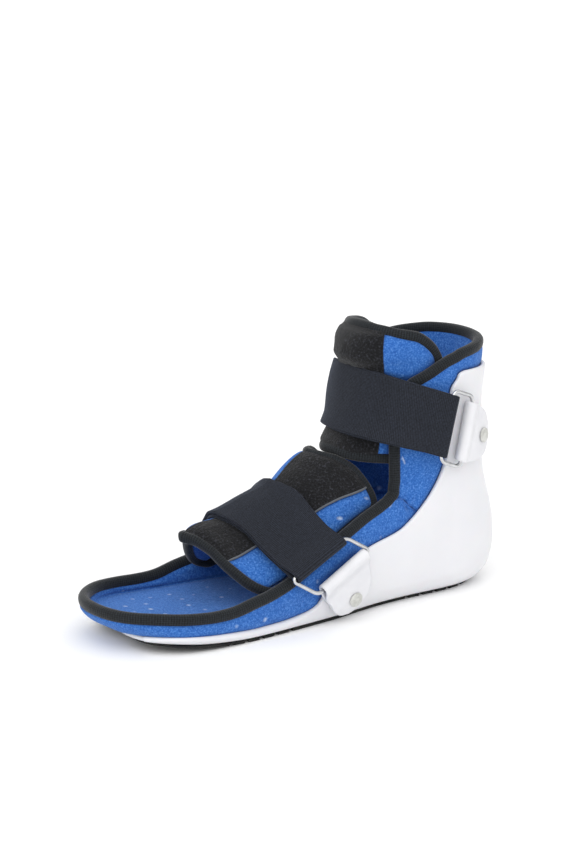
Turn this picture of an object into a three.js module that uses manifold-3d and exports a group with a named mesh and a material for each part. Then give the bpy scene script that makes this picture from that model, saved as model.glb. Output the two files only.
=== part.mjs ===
// A short walking boot: rigid shell and sole, padded liner, two pads, two straps with wire rings.
// Millimetres, +Z up. The toes point to -X, the little-toe side is -Y, the sole rests on Z = 0.
import * as THREE from 'three';
import Module from 'manifold-3d';
import { mergeVertices } from 'three/addons/utils/BufferGeometryUtils.js';

const wasm = await Module();
wasm.setup();

// Overall form of the liner's outer skin
const ANKLE_X = 91.5;          // the leg's axis
const BALL_X = -85;            // where the toe's round begins
const ANKLE_HALF_WIDTH = 40.7;
const BALL_HALF_WIDTH = 49;
const HEEL_REACH = 48;         // from the leg's axis back to the heel
const TOE_REACH = 58;          // from the ball forward to the toe's tip
const COLLAR_HEIGHT = 157;     // top of the ankle wrap at the back
const EDGE_RADIUS = 8;         // rounding between the bowl's floor and its wall
const TOE_SPRING = 6;          // lift of the toe's tip
const SPRING_START_X = -62;

// Walls and layers
const SOLE_THICKNESS = 3.7;
const TREAD_DEPTH = 1.6;
const TREAD_GROOVE = 3.4;
const TREAD_PITCH = 11;
const HEEL_TREAD_REACH = 25.5;  // the first heel groove lies this far in front of the leg's axis
const SHELL_WALL = 3;
const LINER_WALL = 5;
const LAYER_GAP = 0.3;
const SHELL_FIT = 0.5;         // room between the liner and the shell
const PAD_WALL = 4.5;
const LOOP_WALL = 1.2;
const BINDING_WIDTH = 6.6;
const BINDING_THICK = 6.4;
const PAD_BINDING_WIDTH = 6.4;
const PAD_BINDING_THICK = 6.6;

// Straps and hardware
const STRAP_WIDTH = 38.5;
const STRAP_WALL = 1.9;
const STRAP_CLEARANCE = 0.8;
const STRAP_STANDOFF = 1.6;    // more room where the instep strap crosses the bound edge
const WIRE = 3;
const RING_LENGTH = 47;
const RING_CORNER = 2.6;
const TAB_WALL = 1.8;
const TAB_WIDTH = 35;
const RIVET_RADIUS = 4.6;
const RIVET_HEAD = 1.9;

// Where the opening turns up in front of the ankle
const CORNER_X = 50.3;
const CORNER_HEIGHT = 70.3;
const RIM_LENGTH = 193;        // from the toe's tip to that corner
const SHIN_REACH = 66;         // from the leg's axis forward to the shin pad's lower edge
const SHIN_TOP = 170;
const SHIN_BASE = 95;
const SHIN_HALF_SWEEP = 82;    // degrees round the leg
const PAD_STEP = 1.8;          // how far the shin pad's sides lie inside the liner
const DORSUM_HEIGHT = 102;
const PEAK_Y = 8;              // the instep is highest toward the big toe
const INSTEP_FRONT_X = -75;
const INSTEP_LENGTH = 111;
const INSTEP_TUCK = 9;         // the instep pad's sides reach this far below the rim
const SOLE_MARGIN = 2.6;

const FLOOR = SOLE_THICKNESS + LAYER_GAP + SHELL_WALL + SHELL_FIT;
const SKIN_TO_SHELL = SHELL_FIT + SHELL_WALL;
const HALF_TURN = Math.PI;

// Small helpers
const mix = (a, b, t) => a + (b - a) * t;
const clamp = (v, low, high) => Math.min(high, Math.max(low, v));
const vec = (x, y, z) => new THREE.Vector3(x, y, z);
const spread = (n) => Array.from({ length: n + 1 }, (_, i) => i / n);

// A smooth curve through rows, read by one column against another, level at both ends.
function track(rows, at, column, scaleAt = 1, scale = 1) {
  const xs = rows.map((row) => row[at] * scaleAt);
  const ys = rows.map((row) => row[column] * scale);
  const steps = xs.slice(1).map((x, i) => (ys[i + 1] - ys[i]) / (x - xs[i]));
  const slopes = ys.map((_, i) => {
    const before = steps[i - 1];
    const after = steps[i];
    if (before === undefined || after === undefined || before * after <= 0) return 0;
    return (2 * before * after) / (before + after);
  });
  return (value) => {
    const v = clamp(value, xs[0], xs[xs.length - 1]);
    let i = 0;
    while (i < xs.length - 2 && v > xs[i + 1]) i += 1;
    const span = xs[i + 1] - xs[i];
    const t = (v - xs[i]) / span;
    const u = 1 - t;
    return u * u * (1 + 2 * t) * ys[i] + t * t * (3 - 2 * t) * ys[i + 1]
      + span * t * u * (u * slopes[i] - t * slopes[i + 1]);
  };
}

const superRadius = (cos, sin, a, b, power) => (
  (Math.abs(cos / a) ** power + Math.abs(sin / b) ** power) ** (-1 / power));

// The form's level sections: height is a share of COLLAR_HEIGHT, the rest shares of the sizes
// above: reach behind the leg's axis, half widths at four places, reach of the toe.
const SECTIONS = [
  { height: 0.046, back: 0.94, heel: 0.82, ankle: 0.82, throat: 0.84, arch: 0.84, ball: 0.97, toe: 0.95 },
  { height: 0.100, back: 0.965, heel: 0.87, ankle: 0.88, throat: 0.92, arch: 0.885, ball: 0.97, toe: 0.985 },
  { height: 0.165, back: 1.0, heel: 0.91, ankle: 0.93, throat: 0.98, arch: 0.915, ball: 1.0, toe: 1.0 },
  { height: 0.230, back: 0.995, heel: 0.93, ankle: 0.96, throat: 1.0, arch: 0.915, ball: 1.0, toe: 1.0 },
  { height: 0.305, back: 0.945, heel: 0.95, ankle: 0.98, throat: 1.0, arch: 0.895, ball: 1.0, toe: 1.0 },
  { height: 0.395, back: 0.845, heel: 0.97, ankle: 0.985, throat: 0.965, arch: 0.84, ball: 1.0, toe: 1.0 },
  { height: 0.485, back: 0.76, heel: 0.99, ankle: 0.975, throat: 0.88, arch: 0.77, ball: 1.0, toe: 1.0 },
  { height: 0.610, back: 0.727, heel: 1.0, ankle: 0.97, throat: 0.858, arch: 0.7, ball: 1.0, toe: 1.0 },
  { height: 0.765, back: 0.725, heel: 1.0, ankle: 0.963, throat: 0.82, arch: 0.65, ball: 1.0, toe: 1.0 },
  { height: 0.890, back: 0.785, heel: 1.0, ankle: 0.953, throat: 0.765, arch: 0.6, ball: 1.0, toe: 1.0 },
  { height: 1.000, back: 0.83, heel: 1.0, ankle: 0.95, throat: 0.745, arch: 0.6, ball: 1.0, toe: 1.0 },
];
const HEEL_POWER = 2.3;
const TOE_POWER = 2.1;
const ANKLE_FRONT_X = 70;
const THROAT_X = 50;
const ARCH_X = 0;
const section = (column, scale) => track(SECTIONS, 'height', column, COLLAR_HEIGHT, scale);
const backReach = section('back', HEEL_REACH);
const toeReach = section('toe', TOE_REACH);
const widths = [
  { x: BALL_X, at: section('ball', BALL_HALF_WIDTH) },
  { x: ARCH_X, at: section('arch', BALL_HALF_WIDTH) },
  { x: THROAT_X, at: section('throat', ANKLE_HALF_WIDTH) },
  { x: ANKLE_FRONT_X, at: section('ankle', ANKLE_HALF_WIDTH) },
  { x: ANKLE_X, at: section('heel', ANKLE_HALF_WIDTH) },
];
const halfWidth = (x, z) => track(widths.map((w) => ({ x: w.x, y: w.at(z) })), 'x', 'y')(x);

// Places round the form: 0 is the heel's middle, 1 level with the leg's axis, 2 the ball,
// 3 the toe's tip, less than 0 on the little-toe side.
const placeOf = (x) => 1 + (ANKLE_X - x) / (ANKLE_X - BALL_X);

function fan(place) {
  const side = place < 0 ? -1 : 1;
  const p = Math.abs(place);
  if (p <= 1) {
    const angle = (p * HALF_TURN) / 2;
    return { x: ANKLE_X, cos: Math.cos(angle), sin: side * Math.sin(angle), zone: 'heel' };
  }
  if (p < 2) return { x: mix(ANKLE_X, BALL_X, p - 1), cos: 0, sin: side, zone: 'middle' };
  const angle = ((3 - p) * HALF_TURN) / 2;
  return { x: BALL_X, cos: -Math.cos(angle), sin: side * Math.sin(angle), zone: 'toe' };
}

function reach(f, z) {
  if (f.zone === 'heel') {
    return superRadius(f.cos, f.sin, backReach(z), halfWidth(ANKLE_X, z), HEEL_POWER);
  }
  if (f.zone === 'toe') {
    return superRadius(f.cos, f.sin, toeReach(z), halfWidth(BALL_X, z), TOE_POWER);
  }
  return halfWidth(f.x, z);
}

const spring = (x) => {
  const t = Math.max(0, (SPRING_START_X - x) / (SPRING_START_X - BALL_X + TOE_REACH));
  return TOE_SPRING * t * t;
};

// Levels up the form: -1 the floor's middle, 0 the floor's edge, 1 the top of the rounding,
// above 1 the wall, in hundreds of millimetres.
const WALL_UNIT = 100;
const WALL_START = FLOOR + EDGE_RADIUS;
function levelOf(z) {
  if (z >= WALL_START) return 1 + (z - WALL_START) / WALL_UNIT;
  return Math.acos(clamp((WALL_START - z) / EDGE_RADIUS, 0, 1)) / (HALF_TURN / 2);
}
function formPoint(place, level) {
  const f = fan(place);
  const angle = (clamp(level, 0, 1) * HALF_TURN) / 2;
  const z = level > 1 ? WALL_START + (level - 1) * WALL_UNIT
    : WALL_START - EDGE_RADIUS * Math.cos(angle);
  const inset = level < 1 ? edgeInset(Math.abs(place)) * (1 - Math.sin(angle)) : 0;
  const r = (reach(f, z) - inset) * clamp(1 + level, 0, 1);
  const x = f.x + r * f.cos;
  return vec(x, r * f.sin, z + spring(x));
}
// How far the floor's edge lies inside the wall, as a share of EDGE_RADIUS.
const EDGE_INSETS = [
  { place: 0, inset: 1.4 }, { place: 1, inset: 1.0 }, { place: 1.3, inset: 0.8 },
  { place: 1.6, inset: 0.5 }, { place: 2, inset: 0.35 }, { place: 2.5, inset: 0.7 },
  { place: 3, inset: 1.25 },
];
const edgeInset = track(EDGE_INSETS, 'place', 'inset', 1, EDGE_RADIUS);
const wrap = (place) => (place > 3 ? place - 6 : place < -3 ? place + 6 : place);
function formNormal(place, level) {
  const step = 0.004;
  if (level <= 0) {
    const x = formPoint(place, level).x;
    return vec((spring(x + 1) - spring(x - 1)) / 2, 0, -1).normalize();
  }
  const du = formPoint(wrap(place + step), level).sub(formPoint(wrap(place - step), level));
  const dv = formPoint(place, level + step).sub(formPoint(place, level - step));
  const n = du.cross(dv).normalize();
  if (Math.abs(place) < step || Math.abs(place) > 3 - step) n.setY(0).normalize();
  return n;
}
const skin = (place, level, offset) => (
  formPoint(place, level).addScaledVector(formNormal(place, level), offset));

// Closed meshes
function solidFrom(points, faces) {
  let geometry = new THREE.BufferGeometry();
  geometry.setAttribute('position', new THREE.Float32BufferAttribute(
    points.flatMap((p) => [p.x, p.y, p.z]), 3));
  geometry.setIndex(faces);
  geometry = mergeVertices(geometry, 1e-3);
  const index = Array.from(geometry.index.array);
  const kept = [];
  for (let i = 0; i < index.length; i += 3) {
    const [a, b, c] = index.slice(i, i + 3);
    if (a !== b && b !== c && c !== a) kept.push(a, b, c);
  }
  geometry.setIndex(kept);
  if (volume(geometry) < 0) {
    for (let i = 0; i < kept.length; i += 3) [kept[i], kept[i + 1]] = [kept[i + 1], kept[i]];
    geometry.setIndex(kept);
  }
  return geometry;
}
function volume(geometry) {
  const p = geometry.attributes.position;
  const corner = (i) => vec(p.getX(i), p.getY(i), p.getZ(i));
  const index = geometry.index.array;
  let sum = 0;
  for (let i = 0; i < index.length; i += 3) {
    sum += corner(index[i]).dot(corner(index[i + 1]).cross(corner(index[i + 2])));
  }
  return sum / 6;
}

// A sheet with thickness: at(i, j) gives its outer and inner point. A ring closes on itself
// along i, and a bowl has no wall at j = 0, where its ribs meet.
function sheet(across, along, at, { ring = false, bowl = false } = {}) {
  const points = [];
  const id = (i, j, side) => ((ring ? i % across : i) * (along + 1) + j) * 2 + side;
  for (let i = 0; i < (ring ? across : across + 1); i += 1) {
    for (let j = 0; j <= along; j += 1) points.push(...at(i, j));
  }
  const faces = [];
  const quad = (a, b, c, d) => faces.push(a, b, c, a, c, d);
  for (let i = 0; i < across; i += 1) {
    for (let j = 0; j < along; j += 1) {
      quad(id(i, j, 0), id(i + 1, j, 0), id(i + 1, j + 1, 0), id(i, j + 1, 0));
      quad(id(i, j, 1), id(i, j + 1, 1), id(i + 1, j + 1, 1), id(i + 1, j, 1));
    }
    quad(id(i, along, 0), id(i + 1, along, 0), id(i + 1, along, 1), id(i, along, 1));
    if (!bowl) quad(id(i, 0, 0), id(i, 0, 1), id(i + 1, 0, 1), id(i + 1, 0, 0));
  }
  if (!ring) {
    for (let j = 0; j < along; j += 1) {
      quad(id(0, j, 0), id(0, j + 1, 0), id(0, j + 1, 1), id(0, j, 1));
      quad(id(across, j, 0), id(across, j, 1), id(across, j + 1, 1), id(across, j + 1, 0));
    }
  }
  return solidFrom(points, faces);
}

// A closed cord: the path's points with their outward normals, and an oval section.
function cord(path, wide, thick, sides) {
  const n = path.length;
  const points = [];
  path.forEach(({ point, normal }, i) => {
    const ahead = path[(i + 1) % n].point.clone().sub(path[(i + n - 1) % n].point).normalize();
    const beside = ahead.clone().cross(normal).normalize();
    const out = beside.clone().cross(ahead).normalize();
    for (let k = 0; k < sides; k += 1) {
      const angle = ((k + 0.5) / sides) * 2 * HALF_TURN;
      points.push(point.clone()
        .addScaledVector(beside, (Math.sin(angle) * wide) / 2)
        .addScaledVector(out, (Math.cos(angle) * thick) / 2));
    }
  });
  const faces = [];
  for (let i = 0; i < n; i += 1) {
    for (let k = 0; k < sides; k += 1) {
      const [a, b] = [i * sides + k, i * sides + ((k + 1) % sides)];
      const [c, d] = [((i + 1) % n) * sides + ((k + 1) % sides), ((i + 1) % n) * sides + k];
      faces.push(a, b, c, a, c, d);
    }
  }
  return solidFrom(points, faces);
}

// The edges of the bowl, the wrap and the shell. Heights are shares of the named height.
const RIM = [
  { along: 0, rise: 0.238 }, { along: 0.14, rise: 0.262 }, { along: 0.30, rise: 0.262 },
  { along: 0.373, rise: 0.276 }, { along: 0.445, rise: 0.326 }, { along: 0.505, rise: 0.368 },
  { along: 0.567, rise: 0.425 }, { along: 0.66, rise: 0.552 }, { along: 0.727, rise: 0.649 },
  { along: 0.783, rise: 0.734 }, { along: 0.834, rise: 0.8 }, { along: 0.885, rise: 0.862 },
  { along: 0.933, rise: 0.915 }, { along: 0.97, rise: 0.96 }, { along: 1, rise: 1.0 },
];
const TIP_X = CORNER_X - RIM_LENGTH;
const rimTrack = track(RIM, 'along', 'rise', RIM_LENGTH, CORNER_HEIGHT);
const rimHeight = (x) => rimTrack(x - TIP_X);

const FRONT_EDGE = [
  { height: 0.448, reach: 1.0 }, { height: 0.47, reach: 0.985 }, { height: 0.51, reach: 0.96 },
  { height: 0.63, reach: 0.959 }, { height: 0.73, reach: 0.925 }, { height: 0.83, reach: 0.858 },
];
const THROAT_REACH = ANKLE_X - CORNER_X;
const frontReach = track(FRONT_EDGE, 'height', 'reach', COLLAR_HEIGHT, THROAT_REACH);
const frontPlace = (z) => placeOf(ANKLE_X - frontReach(z));

const COLLAR_TOP = [
  { place: 0, height: 1.0 }, { place: 0.45, height: 0.994 }, { place: 0.66, height: 0.985 },
  { place: 0.88, height: 0.974 }, { place: 1.026, height: 0.95 }, { place: 1.083, height: 0.917 },
  { place: 1.133, height: 0.892 }, { place: 1.165, height: 0.873 }, { place: 1.195, height: 0.842 },
];
const collarTop = track(COLLAR_TOP, 'place', 'height', 1, COLLAR_HEIGHT);

// The seam where the wrap is sewn to the bowl, from the corner down and back round the heel.
const SEAM = [
  { place: 0, height: 0.30 }, { place: 1, height: 0.31 }, { place: 1.066, height: 0.325 },
  { place: 1.133, height: 0.35 }, { place: 1.173, height: 0.378 }, { place: 1.196, height: 0.404 },
  { place: 1.216, height: 0.424 },
];
const seamHeight = track(SEAM, 'place', 'height', 1, COLLAR_HEIGHT);

const SHELL_EDGE = [
  { place: 0, height: 0.903, back: 0 }, { place: 0.9, height: 0.903, back: 0 },
  { place: 0.97, height: 0.896, back: 0 }, { place: 1.01, height: 0.862, back: 0 },
  { place: 1.026, height: 0.832, back: 0 }, { place: 1.043, height: 0.70, back: 0 },
  { place: 1.06, height: 0.565, back: 0 }, { place: 1.09, height: 0.5, back: 0 },
  { place: 1.116, height: 0.449, back: 0 }, { place: 1.15, height: 0.391, back: 0 },
  { place: 1.182, height: 0.347, back: 0 }, { place: 1.238, height: 0.309, back: 0 },
  { place: 1.387, height: 0.263, back: 0 }, { place: 1.452, height: 0.228, back: 0 },
  { place: 1.575, height: 0.16, back: 0 }, { place: 1.605, height: 0.125, back: 0 },
  { place: 1.625, height: 0.08, back: 0 }, { place: 1.665, height: 0.0625, back: 0 },
  { place: 1.74, height: 0.05, back: 0 }, { place: 1.84, height: 0.0485, back: 0 },
  { place: 2, height: 0.0525, back: 0 }, { place: 2.3, height: 0.0555, back: 0 },
  { place: 2.55, height: 0.051, back: 0.0 }, { place: 2.75, height: 0.0465, back: 0.06 },
  { place: 3, height: 0.0465, back: 0.14 },
];
const shellHeight = track(SHELL_EDGE, 'place', 'height', 1, COLLAR_HEIGHT);
const plateSetback = track(SHELL_EDGE, 'place', 'back');

// Ribs and wall levels that all the nested skins share, so that their facets match.
const HEEL_PLACES = [0, 0.16, 0.32, 0.48, 0.64, 0.8, 0.91, 1.01, 1.026, 1.043, 1.06, 1.09, 1.116,
  1.15];
const FOOT_PLACES = [1.182, 1.238, 1.31, 1.387, 1.452, 1.52, 1.575, 1.605, 1.625, 1.665, 1.74,
  1.84, 2, 2.2, 2.4, 2.6, 2.8, 3];
const RIB_PLACES = [...HEEL_PLACES, ...FOOT_PLACES];
const FLOOR_LEVELS = [-1, 0, 0.5, 1];
const WALL_SHARES = [0.17, 0.25, 0.33, 0.42, 0.52, 0.62, 0.74, 0.87, 1.0];
const wallLevels = WALL_SHARES.map((share) => levelOf(share * COLLAR_HEIGHT));
const around = (half) => [...half.slice(1).reverse().map((p) => -p), ...half.slice(0, -1)];

function bowl(topLevel, outer, inner) {
  const places = around(RIB_PLACES);
  const levels = [...FLOOR_LEVELS, ...wallLevels];
  return sheet(places.length, levels.length, (i, j) => {
    const place = places[i];
    const top = topLevel(Math.abs(place));
    const level = j < levels.length ? Math.min(levels[j], top) : top;
    return [outer(place, level), inner(place, level)];
  }, { ring: true, bowl: true });
}

// The liner's inner skin keeps a full corner of its own, inside the tight outer one.
function lining(place, level) {
  if (level >= 1) return skin(place, level, -LINER_WALL);
  const foot = skin(place, 1, -LINER_WALL);
  const f = fan(place);
  const angle = (clamp(level, 0, 1) * HALF_TURN) / 2;
  const pull = Math.max(edgeInset(Math.abs(place)) - LINER_WALL / 2, 1) * (1 - Math.sin(angle));
  const r = (Math.hypot(foot.x - f.x, foot.y) - pull) * clamp(1 + level, 0, 1);
  const x = f.x + r * f.cos;
  const lift = (EDGE_RADIUS - LINER_WALL) * (1 - Math.cos(angle));
  return vec(x, r * f.sin, FLOOR + LINER_WALL + lift + spring(x));
}

const bindingRoom = BINDING_WIDTH / 2 + LAYER_GAP * 2;
const steepness = (f, at, run, step = 0.01) => (
  Math.hypot(1, (f(at + step) - f(at - step)) / (2 * step * run)));
const rimX = (place) => formPoint(place, levelOf(rimHeight(formPoint(place, 1).x))).x;
function bowlTop(place) {
  const x = rimX(place);
  const rim = rimHeight(x) - bindingRoom * steepness(rimHeight, x, 1, 1);
  return place > 1.15 ? Math.min(rim, place < 1.235 ? seamHeight(place) : rim) : seamHeight(place);
}

function makeShell() {
  const level = (place) => {
    const setback = plateSetback(place);
    return setback > 0.001 ? -setback : levelOf(shellHeight(place));
  };
  return bowl(level, (p, l) => skin(p, l, SKIN_TO_SHELL), (p, l) => skin(p, l, SHELL_FIT));
}
const makeBowl = () => bowl((place) => levelOf(bowlTop(place)), (p, l) => skin(p, l, 0), lining);

function makeCollar() {
  const half = [...HEEL_PLACES, 0];
  const places = [...half.slice(1).reverse().map((p) => -p), ...half];
  const last = places.length - 1;
  const heights = [0.29, ...WALL_SHARES.slice(2, -1), 1];
  return sheet(last, heights.length - 1, (i, j) => {
    const level = heights[j] * COLLAR_HEIGHT;
    const edge = frontPlace(Math.max(level, CORNER_HEIGHT)) - bindingRoom / (ANKLE_X - BALL_X);
    const p = i === 0 || i === last ? edge : Math.abs(places[i]);
    const place = i < last / 2 ? -p : p;
    const z = clamp(level, seamHeight(p) + LAYER_GAP * 1.5, collarTop(p)
      - bindingRoom * steepness(collarTop, p, ANKLE_X - BALL_X));
    return [skin(place, levelOf(z), 0), skin(place, levelOf(z), -LINER_WALL)];
  });
}

// The bound edge, one closed run: toe, rim, corner, front edge, top, and back the other side.
function edgePath() {
  const half = [];
  FOOT_PLACES.filter((place) => place > 1.25).reverse().forEach((place) => (
    half.push([place, rimHeight(rimX(place))])));
  half.push([1.265, rimHeight(rimX(1.265))]);
  [0.457, 0.475, 0.51, 0.56, 0.62, 0.68, 0.74, 0.8, 0.83].forEach((height) => {
    const z = height * COLLAR_HEIGHT;
    half.push([frontPlace(z), z]);
  });
  [1.188, 1.165, 1.133, 1.09, 1.04, 0.98, 0.88, 0.72, 0.54, 0.36, 0.18].forEach(
    (place) => half.push([place, collarTop(place)]));
  const run = [...half.map(([place, z]) => [-place, z]), [0, collarTop(0)],
    ...half.slice(1).reverse()];
  return run.map(([place, z]) => ({
    point: skin(place, levelOf(z), -LINER_WALL / 2), normal: formNormal(place, levelOf(z)),
  }));
}

// Grooves across the tread, under the ball and under the heel.
const TREADS = [{ from: BALL_X - TREAD_PITCH, count: 7 },
  { from: ANKLE_X - HEEL_TREAD_REACH, count: 5 }];

function asManifold(geometry) {
  const plain = geometry.clone();
  plain.deleteAttribute('normal');
  plain.deleteAttribute('uv');
  const merged = mergeVertices(plain, 1e-3);
  return new wasm.Manifold(new wasm.Mesh({ numProp: 3,
    vertProperties: new Float32Array(merged.attributes.position.array),
    triVerts: new Uint32Array(merged.index.array) }));
}
function carve(body, tool) {
  const { vertProperties, triVerts, numProp } = asManifold(body).subtract(asManifold(tool))
    .getMesh();
  const points = [];
  for (let i = 0; i < vertProperties.length; i += numProp) {
    points.push(vec(vertProperties[i], vertProperties[i + 1], vertProperties[i + 2]));
  }
  return solidFrom(points, Array.from(triVerts));
}

function makeSole() {
  const places = around(RIB_PLACES);
  const rows = [-1, -0.12, 0];
  const base = sheet(places.length, rows.length - 1, (i, j) => {
    const place = places[i];
    const f = fan(place);
    const level = -plateSetback(Math.abs(place)) + rows[j] * (1 - plateSetback(Math.abs(place)));
    const reachOut = rows[j] < 0 ? 0 : SOLE_MARGIN;
    const out = vec(f.cos, f.sin, 0).multiplyScalar(reachOut);
    const down = formNormal(place, -0.5);
    const point = formPoint(place, level);
    return [point.clone().addScaledVector(out, 0.5).addScaledVector(down, FLOOR),
      point.add(out).addScaledVector(down, SKIN_TO_SHELL + LAYER_GAP)];
  }, { ring: true, bowl: true });
  const grooves = TREADS.flatMap(({ from, count }) => (
    Array.from({ length: count }, (_, i) => from + i * TREAD_PITCH)));
  return grooves.reduce((sole, x) => {
    const cut = new THREE.BoxGeometry(TREAD_GROOVE, BALL_HALF_WIDTH * 3, TREAD_DEPTH * 2);
    return carve(sole, cut.translate(x, 0, 0));
  }, base);
}

// A surface given by two numbers, with its normal facing away from a point inside it.
function normalOn(surface, a, b, core) {
  const step = 0.002;
  const du = surface(a + step, b).sub(surface(a - step, b));
  const dv = surface(a, b + step).sub(surface(a, b - step));
  const n = du.cross(dv).normalize();
  return n.dot(surface(a, b).sub(core(a, b))) < 0 ? n.negate() : n;
}
const raise = (surface, core, a, b, lift) => (
  surface(a, b).addScaledVector(normalOn(surface, a, b, core), lift));

// The shin pad: turn is degrees round the leg from its front, rise runs from base to top.
const SHIN_FRONT = [
  { rise: 0, reach: 0.985 }, { rise: 0.08, reach: 0.935 }, { rise: 0.15, reach: 0.87 },
  { rise: 0.22, reach: 0.805 }, { rise: 0.32, reach: 0.755 }, { rise: 0.5, reach: 0.705 },
  { rise: 0.69, reach: 0.665 }, { rise: 0.78, reach: 0.765 },
  { rise: 0.86, reach: 0.81 }, { rise: 0.93, reach: 0.765 }, { rise: 1, reach: 0.665 },
];
const shinReach = track(SHIN_FRONT, 'rise', 'reach', 1, SHIN_REACH);
const SHIN_POWER = 2.3;
const SHIN_HALF_WIDTH = ANKLE_HALF_WIDTH - LINER_WALL - PAD_STEP;
const shinPoint = (turn, rise) => {
  const angle = turn * (HALF_TURN / 180);
  const [cos, sin] = [Math.cos(angle), Math.sin(angle)];
  const r = superRadius(cos, sin, shinReach(rise), SHIN_HALF_WIDTH, SHIN_POWER);
  return vec(ANKLE_X - r * cos, r * sin, mix(SHIN_BASE, SHIN_TOP, rise));
};
const shinCore = (turn, rise) => vec(ANKLE_X, 0, mix(SHIN_BASE, SHIN_TOP, rise));

// Edges of the shin pad, against the share of its sweep.
const SHIN_EDGES = [
  { sweep: 0, top: 1.0, base: 0 }, { sweep: 0.3, top: 0.99, base: -0.035 },
  { sweep: 0.5, top: 0.965, base: -0.055 }, { sweep: 0.66, top: 0.935, base: -0.07 },
  { sweep: 0.8, top: 0.87, base: -0.06 }, { sweep: 0.9, top: 0.79, base: -0.03 },
  { sweep: 0.96, top: 0.7, base: 0.02 }, { sweep: 1, top: 0.56, base: 0.12 },
];
const shinTop = track(SHIN_EDGES, 'sweep', 'top');
const shinBase = track(SHIN_EDGES, 'sweep', 'base');
const PAD_ROOM = PAD_BINDING_WIDTH / 2 + LAYER_GAP * 3;
const SHIN_HEIGHT = SHIN_TOP - SHIN_BASE;
// The pad's half sweep against its height, both as lengths on its skin
const SHIN_RUN = (SHIN_HALF_SWEEP * (HALF_TURN / 180) * SHIN_REACH * 0.63) / SHIN_HEIGHT;

function shinGrid(columns, rows, cut, sweepShare, margin, outer, inner) {
  return sheet(cut.to - cut.from, rows, (i, j) => {
    const w = ((i + cut.from) / columns) * 2 - 1;
    const sweep = Math.abs(w) * sweepShare;
    const share = margin / SHIN_HEIGHT;
    const low = shinBase(sweep) + share * steepness(shinBase, sweep, SHIN_RUN);
    const high = shinTop(sweep) - share * steepness(shinTop, sweep, SHIN_RUN);
    const turn = Math.sign(w) * sweep * SHIN_HALF_SWEEP;
    const rise = mix(low, high, clamp(j / rows, cut.end, 1 - cut.end));
    return [raise(shinPoint, shinCore, turn, rise, outer),
      raise(shinPoint, shinCore, turn, rise, inner)];
  });
}

function closedRun(surface, core, corners, lift) {
  return corners.map(([a, b]) => ({
    point: raise(surface, core, a, b, lift), normal: normalOn(surface, a, b, core),
  }));
}

function shinEdgePath() {
  const sweeps = [...spread(7).map((s) => s * 0.84), 0.88, 0.92, 0.95, 0.975, 0.99];
  const top = sweeps.map((s) => [s * SHIN_HALF_SWEEP, shinTop(s)]);
  const side = [[SHIN_HALF_SWEEP, 0.53], [SHIN_HALF_SWEEP, 0.42], [SHIN_HALF_SWEEP, 0.3],
    [SHIN_HALF_SWEEP, 0.19]];
  const base = sweeps.slice().reverse().map((s) => [s * SHIN_HALF_SWEEP, shinBase(s)]);
  const half = [...top, ...side, ...base];
  const other = half.slice(1, -1).reverse().map(([turn, rise]) => [-turn, rise]);
  return closedRun(shinPoint, shinCore, [...half, ...other], -PAD_WALL / 2);
}

// The instep pad: across is -1 at the little-toe side, 0 at the peak, 1 at the big-toe side,
// and along runs from the toe end to the ankle end.
const DORSUM = [
  { along: 0, height: 0.545 }, { along: 0.12, height: 0.58 }, { along: 0.2, height: 0.585 },
  { along: 0.4, height: 0.645 }, { along: 0.55, height: 0.7 }, { along: 0.63, height: 0.77 },
  { along: 0.703, height: 0.842 }, { along: 0.80, height: 0.91 }, { along: 0.89, height: 0.955 },
  { along: 1, height: 1.0 },
];
const dorsumHeight = track(DORSUM, 'along', 'height', 1, DORSUM_HEIGHT);
const ARCHES = [
  { part: 0, toeReach: 0, toeRise: 1, ankleReach: 0, ankleRise: 1 },
  { part: 0.15, toeReach: 0.13, toeRise: 0.965, ankleReach: 0.16, ankleRise: 0.985 },
  { part: 0.35, toeReach: 0.33, toeRise: 0.82, ankleReach: 0.38, ankleRise: 0.92 },
  { part: 0.55, toeReach: 0.54, toeRise: 0.62, ankleReach: 0.60, ankleRise: 0.74 },
  { part: 0.75, toeReach: 0.76, toeRise: 0.44, ankleReach: 0.80, ankleRise: 0.47 },
  { part: 0.9, toeReach: 0.92, toeRise: 0.28, ankleReach: 0.93, ankleRise: 0.23 },
  { part: 1, toeReach: 0.985, toeRise: 0.12, ankleReach: 0.985, ankleRise: 0.08 },
  { part: 1.1, toeReach: 1.0, toeRise: -0.05, ankleReach: 1.0, ankleRise: -0.08 },
];
const arch = (column) => track(ARCHES, 'part', column);
const arches = { toeReach: arch('toeReach'), toeRise: arch('toeRise'),
  ankleReach: arch('ankleReach'), ankleRise: arch('ankleRise') };

// One arch over the foot: its half width, peak and foot heights, and the place along it.
function archPoint(across, along, half, top, base) {
  const side = across < 0 ? -1 : 1;
  const part = Math.abs(across);
  const reachShare = mix(arches.toeReach(part), arches.ankleReach(part), clamp(along, 0, 1));
  const riseShare = mix(arches.toeRise(part), arches.ankleRise(part), clamp(along, 0, 1));
  const y = PEAK_Y + side * reachShare * (half - side * PEAK_Y);
  return vec(INSTEP_FRONT_X + along * INSTEP_LENGTH, y, mix(base, top, riseShare));
}
const instepX = (along) => INSTEP_FRONT_X + along * INSTEP_LENGTH;
const PAD_INSET = LINER_WALL + PAD_STEP + LAYER_GAP * 4;
const instepPoint = (across, along) => {
  const x = instepX(along);
  const rim = rimHeight(x);
  return archPoint(across, along, halfWidth(x, rim) - PAD_INSET, dorsumHeight(along),
    rim - INSTEP_TUCK);
};
const instepCore = (across, along) => vec(instepX(along), 0, 0);

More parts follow.
